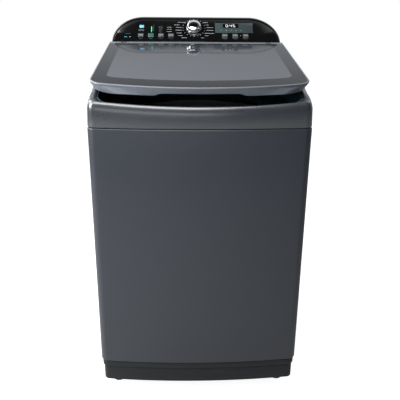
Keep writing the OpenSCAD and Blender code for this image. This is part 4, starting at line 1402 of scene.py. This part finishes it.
@dataclass
class Controls:
    """The knob and the push buttons."""

    sizes: Sizes = SIZES
    console: Console = field(default_factory=Console)
    knob_r: float = 26.0
    knob_top: float = 20.0
    cap_rise: float = 4.6
    ribs: int = 72

    def build(self) -> None:
        """Build the knob and every button."""
        self.knob()
        lit = {"button_2": Finishes.LAMP_TEAL, "power_button": Finishes.LAMP_BLUE}
        names = [f"button_{i}" for i in range(1, 8)] + ["power_button"]
        for name, key in zip(names, self.console.keys()):
            self.button(name, key, lit.get(name, Finishes.KEY))

    def knob(self) -> None:
        """The knob: a chromed, finely ribbed skirt under a gently domed cap."""
        r, top, rise = self.knob_r, self.knob_top, self.cap_rise
        draft = Draft("knob_body")
        edge = r - 3.4
        profile = [(4.5, 0.6), (r - 0.8, 0.6), (r - 0.1, 1.2), (r - 0.1, 3.2), (r - 0.9, 4.2),
                   (edge - 0.1, top - rise - 1.4), (edge - 0.4, top - rise - 0.5)]
        dome = [((edge - 1.0) * (1 - i / 12), top - rise * (1 - i / 12) ** 2) for i in range(13)]
        draft.turned(profile + dome, 120)
        rib = Draft("rib")
        rib.block((r - 2.4, 0, top / 2 + 0.6), (1.2, 0.55, top - 9.5), 0.2, steps=1)
        draft.add(repeated(rib, Finishes.CHROME, self.ribs, turn=2 * math.pi / self.ribs), 0)
        place = self.sizes.face_place() @ shift(*self.console.knob_at, 0)
        draft.finish([Finishes.CHROME], "knob", place, replaces=["knob"], slot="black_plastic")

    def button(self, name: str, key: Mark, face: Finishes) -> None:
        """One push button: a rounded cap that stands just above the panel.

        Args:
            name: the button's node and body name.
            key: its place and size.
            face: the finish of its cap.
        """
        draft = Draft(f"{name}_cap")
        draft.block((key.u, key.v, -3.75), (key.w - 0.2, key.h - 0.2, 9.4), 1.6, steps=4)
        if face is Finishes.KEY:
            draft.block((key.u, key.v + key.h / 2 - 7.5, 0.95), (key.w - 5, 8.0, 0.08), slot=1)
        draft.finish([face, Finishes.KEY_LEGEND], name, self.sizes.face_place(), replaces=[name],
                     slot="button_grey")


# ---------------------------------------------------------------- drum

@dataclass
class Drum:
    """The perforated basket, its balance ring and the pulsator, all on the tub's axis."""

    sizes: Sizes = SIZES
    basket_r: float = 237.9
    basket_z: float = 312.0
    wall_top: float = 766.0
    top: float = 796.0
    mouth_r: float = 196.0
    sheet: float = 1.1
    foot_band: float = 24.0
    top_band: float = 36.0
    columns: int = 60
    rows: int = 16
    hole_r: float = 3.2
    tile_cuts: int = 4
    pulsator_r: float = 176.0
    vanes: int = 6

    @property
    def holes_z(self) -> Point2:
        """Between which heights the wall is perforated."""
        return self.basket_z + self.foot_band, self.wall_top - self.top_band

    def axis(self) -> Matrix:
        """Where the drum's own frame lies."""
        return shift(0, self.sizes.tub_y, 0)

    def build(self) -> None:
        """Build the basket, the ring and the pulsator."""
        self.basket()
        self.ring()
        self.pulsator()

    def _tile(self) -> Draft:
        """Model one tile of the wall, bent to its curve, with a round hole through it.

        Returns:
            The lowest tile, which meets the X axis.
        """
        tile = Draft("perforated_tile")
        r, step, cuts = self.basket_r, 2 * math.pi / self.columns, self.tile_cuts
        low, high = self.holes_z
        rise = (high - low) / self.rows
        shares = [i / cuts for i in range(cuts)]
        border = ([(-0.5 + t, 0.0) for t in shares] + [(0.5, t) for t in shares]
                  + [(0.5 - t, 1.0) for t in shares] + [(-0.5, 1.0 - t) for t in shares])
        edge = [(u * step, low + v * rise) for u, v in border]
        turns = [math.atan2(v - 0.5, u) for u, v in border]
        rim = [(self.hole_r * math.cos(a) / r, low + rise / 2 + self.hole_r * math.sin(a)) for a in turns]
        (outer, hole), (inner, inner_hole) = (
            [tile.ring((radius * math.cos(a), radius * math.sin(a), z) for a, z in line)
             for line in (edge, rim)] for radius in (r, r - self.sheet))
        tile.bridge(outer, hole)
        tile.bridge(inner_hole, inner)
        tile.bridge(hole, inner_hole)
        return tile

    def basket(self) -> None:
        """The basket: a pressed floor, a plain band, perforated rows and a plain top band."""
        r, z, t = self.basket_r, self.basket_z, self.sheet
        draft = Draft("basket_shell")
        steps = self.columns * self.tile_cuts
        low, high = self.holes_z
        draft.turned([(r, low), (r, z + 10), (r - 3, z + 3), (r - 8, z + 0.1), (16.5, z + 0.1),
                      (16.5, z + 1.9), (r - 8.6, z + 1.9), (r - 4.2, z + 4), (r - t, z + 10.5),
                      (r - t, low)], steps)
        draft.turned([(r, high), (r, self.wall_top), (r - t, self.wall_top), (r - t, high)], steps)
        draft.add(repeated(self._tile(), Finishes.STAINLESS, self.columns, self.rows,
                           turn=2 * math.pi / self.columns, rise=(high - low) / self.rows), 0)
        draft.finish([Finishes.STAINLESS], "basket", self.axis(), replaces=["basket", "basket_floor"],
                     slot="stainless", crease=50)

    def ring(self) -> None:
        """The hollow balance ring that rims the basket."""
        inner, outer = self.mouth_r, self.basket_r + 4
        low, top = self.wall_top, self.top
        draft = Draft("balance_ring_shell")
        draft.turned([(inner + 3, low), (outer - 1.5, low), (outer, low + 1.5), (outer, top - 6),
                      (outer - 1.8, top - 1.8), (outer - 6, top), (inner + 16, top), (inner + 9, top - 1.5),
                      (inner + 4, top - 4.5), (inner + 0.8, top - 9.5), (inner, top - 14), (inner, low + 3),
                      (inner + 0.9, low + 0.9), (inner + 3, low)], 160)
        draft.finish([Finishes.PULSATOR], "basket", self.axis(), replaces=["balance_ring"],
                     slot="pulsator_plastic", crease=40)

    def pulsator(self) -> None:
        """The pulsator: a shallow dish with a domed cap and straight vanes."""
        r, z = self.pulsator_r, self.basket_z
        draft = Draft("pulsator_disc")
        draft.turned([(10.2, z + 14), (r - 3, z + 14), (r - 0.6, z + 15), (r, z + 17), (r - 1, z + 19.4),
                      (r - 6, z + 20.6), (r - 22, z + 21.6), (110, z + 22.6), (70, z + 25), (50, z + 30),
                      (40, z + 38), (34, z + 44.5), (26, z + 47.6), (12, z + 49.4), (0, z + 49.8)], 144)
        draft.turned([(10.2, z + 14), (10.2, z + 39), (0, z + 39)], 144)
        vane = Draft("vane")
        vane.shell(self._vane_rings(), start_cap=0, end_cap=0)
        draft.add(repeated(vane, Finishes.PULSATOR, self.vanes, turn=2 * math.pi / self.vanes), 0)
        draft.finish([Finishes.PULSATOR], "pulsator", self.axis(), replaces=["pulsator"],
                     slot="pulsator_plastic")

    def _vane_rings(self) -> list[list[tuple]]:
        """Lay out one vane, lower and narrower on its way out from the cap to the rim.

        Returns:
            Its cross-sections.
        """
        section = ((-1, 0), (-0.8, 0.45), (-0.45, 0.85), (0, 1), (0.45, 0.85), (0.8, 0.45), (1, 0))
        rings = []
        for i in range(13):
            t = i / 12
            high = max(25 * (1 - 0.35 * t * t) * min(1.0, (1.02 - t) * 6), 3.5)
            half = 7.5 * (1 - 0.2 * t)
            rings.append([(30 + (self.pulsator_r - 44) * t, half * w, self.basket_z + 18 + high * h)
                          for w, h in section])
        return rings


# ---------------------------------------------------------------- the mechanism's finishes

MECHANISM: dict[Finishes, tuple[str, ...]] = {
    Finishes.PLINTH: ("bottom_shield",),
    Finishes.BLACK: ("lid_lock", "cord_gland", "spring_cups", "drain_outlet", "drain_valve"),
    Finishes.RUBBER: ("lid_bumpers", "drain_hose", "shaft_seal", "drive_belt"),
    Finishes.GALVANISED: ("corner_brackets", "mounting_plate", "motor_housing"),
    Finishes.STEEL: ("knob_spindle", "lid_striker", "hinge_pins", "suspension_rods", "suspension_springs",
                     "shaft_bearings", "spin_tube", "pulsator_shaft", "motor_pulley"),
    Finishes.ALLOY: ("gearbox_housing", "basket_hub", "driven_pulley"),
    Finishes.TUB: ("outer_tub", "tub_floor", "tub_lugs", "tub_cover"),
    Finishes.NYLON: ("inlet_valves", "dispenser_housing", "pressure_switch", "lock_bolt", "run_capacitor"),
    Finishes.PULSATOR: ("detergent_drawer",),
    Finishes.BOARD: ("control_board",),
    Finishes.CORE: ("motor_rotor",),
}


def finish_mechanism(nodes: dict[str, Piece]) -> None:
    """Give each constructed node that stays visible its finish.

    Args:
        nodes: the frame's nodes by name.
    """
    for finish, names in MECHANISM.items():
        for name in names:
            mesh = nodes[name].data
            mesh.materials.clear()
            mesh.materials.append(finish.value.material())
            mesh.shade_smooth()
            mesh.set_sharp_from_angle(angle=math.radians(30))


# ---------------------------------------------------------------- studio

@dataclass
class Studio:
    """A plain product studio: camera, soft lights and a white floor."""

    place: tuple[float, float, float] = (-0.0435, -1.775, 1.185)
    pitch: float = 20.6
    yaw: float = 1.73
    roll: float = 0.49
    lens: float = 50.4
    floor_half: float = 6.0
    paper: str = "b0b0b0"
    paper_grain: float = 0.0025
    paper_glow: float = 0.93
    # Share of the surrounding light that comes from in front, then that light's strength by the
    # height it comes from, 0 level and 1 overhead, and its tint.
    before: float = 0.13
    backdrop: tuple[Point2, ...] = (
        (0.0, 0.47), (0.35, 0.47), (0.43, 0.25), (0.6, 1.2), (0.8, 1.2), (0.93, 0.04))
    tint: tuple[float, ...] = (0.93, 0.96, 1.0, 1.0)

    def build(self) -> None:
        """Set the whole studio up."""
        self.camera()
        self.lights()
        self.floor()
        self.world()
        bpy.context.scene.view_settings.view_transform = "Standard"
        bpy.context.scene.view_settings.look = "None"

    def camera(self) -> None:
        """The main camera: above and in front, a little to the left."""
        data = bpy.data.cameras.new("main")
        data.lens = self.lens
        data.sensor_width = 36.0
        data.clip_start = 0.05
        data.clip_end = 50.0
        camera = in_scene("main", data)
        camera.matrix_world = (shift(*self.place) @ tilt(-self.yaw, "Z") @ tilt(90 - self.pitch)
                               @ tilt(self.roll, "Z"))
        bpy.context.scene.camera = camera

    def lights(self) -> None:
        """A large key on the left, a low fill in front, a box over the front edge and a panel at the side."""
        self.light("key", (-2.4, -1.15, 1.9), (-0.1, -0.3, 0.6), (1.2, 1.8), 124.0)
        self.light("fill", (-0.5, -2.7, 1.1), (-0.05, -0.2, 0.9), (1.6, 0.6), 4.5)
        self.light("strip", (-0.3, -0.9, 2.25), (-0.05, -0.34, 0.9), (1.2, 1.1), 24.0)
        self.light("side", (-1.5, 0.7, 1.9), (-0.28, -0.15, 0.9), (1.7, 1.5), 34.0)

    def light(self, name: str, place: Sequence[float], target: Sequence[float], size: Point2,
              power: float) -> None:
        """A soft light that faces a target.

        Args:
            name: the light's name.
            place: where it stands.
            target: the point it faces.
            size: its width and height.
            power: its power in watts.
        """
        data = bpy.data.lights.new(name, "AREA")
        data.shape = "RECTANGLE"
        data.size, data.size_y = size
        data.energy = power
        facing = (Vector(target) - Vector(place)).to_track_quat("-Z", "Y").to_matrix().to_4x4()
        in_scene(name, data).matrix_world = shift(*place) @ facing

    def floor(self) -> None:
        """A pale floor that keeps the machine's contact shadow."""
        draft, half = Draft("studio_floor"), self.floor_half
        draft.cap(draft.ring([(-half, -half, 0), (half, -half, 0), (half, half, 0), (-half, half, 0)]))
        obj = in_scene(draft.name, draft.mesh())
        obj.data.materials.append(self._floor_paint())
        obj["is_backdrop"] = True

    def _floor_paint(self) -> bpy.types.Material:
        """Make the floor's paint: white to the camera, a plain diffuse grey to every other ray.

        Returns:
            The material.
        """
        mat = new_material("studio_paper")
        tree = mat.node_tree
        height = add_node(tree, "ShaderNodeTexNoise", {
            "Vector": object_place(tree), "Scale": 1.0 / self.paper_grain}).outputs["Fac"]
        bump = add_node(tree, "ShaderNodeBump", {"Height": height, "Distance": 0.0001}).outputs["Normal"]
        paper = fill(tree.nodes["Principled BSDF"], {
            "Base Color": linear(self.paper), "Roughness": 0.8, "Normal": bump}).outputs[0]
        glow = add_node(tree, "ShaderNodeEmission", {"Color": WHITE, "Strength": self.paper_glow}).outputs[0]
        lit = add_node(tree, "ShaderNodeAddShader", {0: paper, 1: glow}).outputs[0]
        choose = add_node(tree, "ShaderNodeMixShader", {0: camera_ray(tree), 1: paper, 2: lit}).outputs[0]
        fill(tree.nodes["Material Output"], {"Surface": choose})
        return mat

    def world(self) -> None:
        """White to the camera and a softer grey to every other ray."""
        world = bpy.data.worlds.new("studio_world")
        bpy.context.scene.world = world
        world.use_nodes = True
        tree = world.node_tree
        tree.nodes.clear()
        seen = add_node(tree, "ShaderNodeBackground", {"Color": WHITE, "Strength": 1.0})
        way = add_node(tree, "ShaderNodeTexCoord").outputs["Generated"]
        split = add_node(tree, "ShaderNodeSeparateXYZ", {"Vector": way})
        behind = add_node(tree, "ShaderNodeMapRange", {
            "Value": split.outputs["Y"], "From Min": -0.1, "From Max": 0.3,
            "To Min": self.before, "To Max": 1.0})
        rise = add_node(tree, "ShaderNodeValToRGB", {"Fac": split.outputs["Z"]})
        stops = rise.color_ramp.elements
        while len(stops) < len(self.backdrop):
            stops.new(1.0)
        for stop, (height, strength) in zip(stops, self.backdrop):
            stop.position = height
            stop.color = (strength, strength, strength, 1.0)
        fade = add_node(tree, "ShaderNodeMath", {0: behind.outputs["Result"], 1: rise.outputs["Color"]},
                        operation="MULTIPLY")
        lit = add_node(tree, "ShaderNodeBackground", {"Color": self.tint, "Strength": fade.outputs["Value"]})
        choose = add_node(tree, "ShaderNodeMixShader", {
            0: camera_ray(tree), 1: lit.outputs[0], 2: seen.outputs[0]})
        add_node(tree, "ShaderNodeOutputWorld", {"Surface": choose.outputs[0]})


# ---------------------------------------------------------------- the scene

def note_bounds(sizes: dict[str, list[list[float]]], stage: str) -> None:
    """Record the model's bounds at one stage as plain numbers."""
    low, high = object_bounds()
    sizes[stage] = [[round(float(v), 5) for v in low], [round(float(v), 5) for v in high]]


def main() -> None:
    """Build the machine and its studio."""
    logging.basicConfig(level=logging.INFO, format="%(name)s: %(message)s")
    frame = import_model()
    sizes: dict[str, list[list[float]]] = {}
    note_bounds(sizes, "loaded")
    for part in (Cabinet(), TopCover(), Lid(), Console(), Controls(), Drum()):
        part.build()
    finish_mechanism(frame["nodes"])
    Studio().build()
    note_bounds(sizes, "finished")


if __name__ == "__main__":
    main()
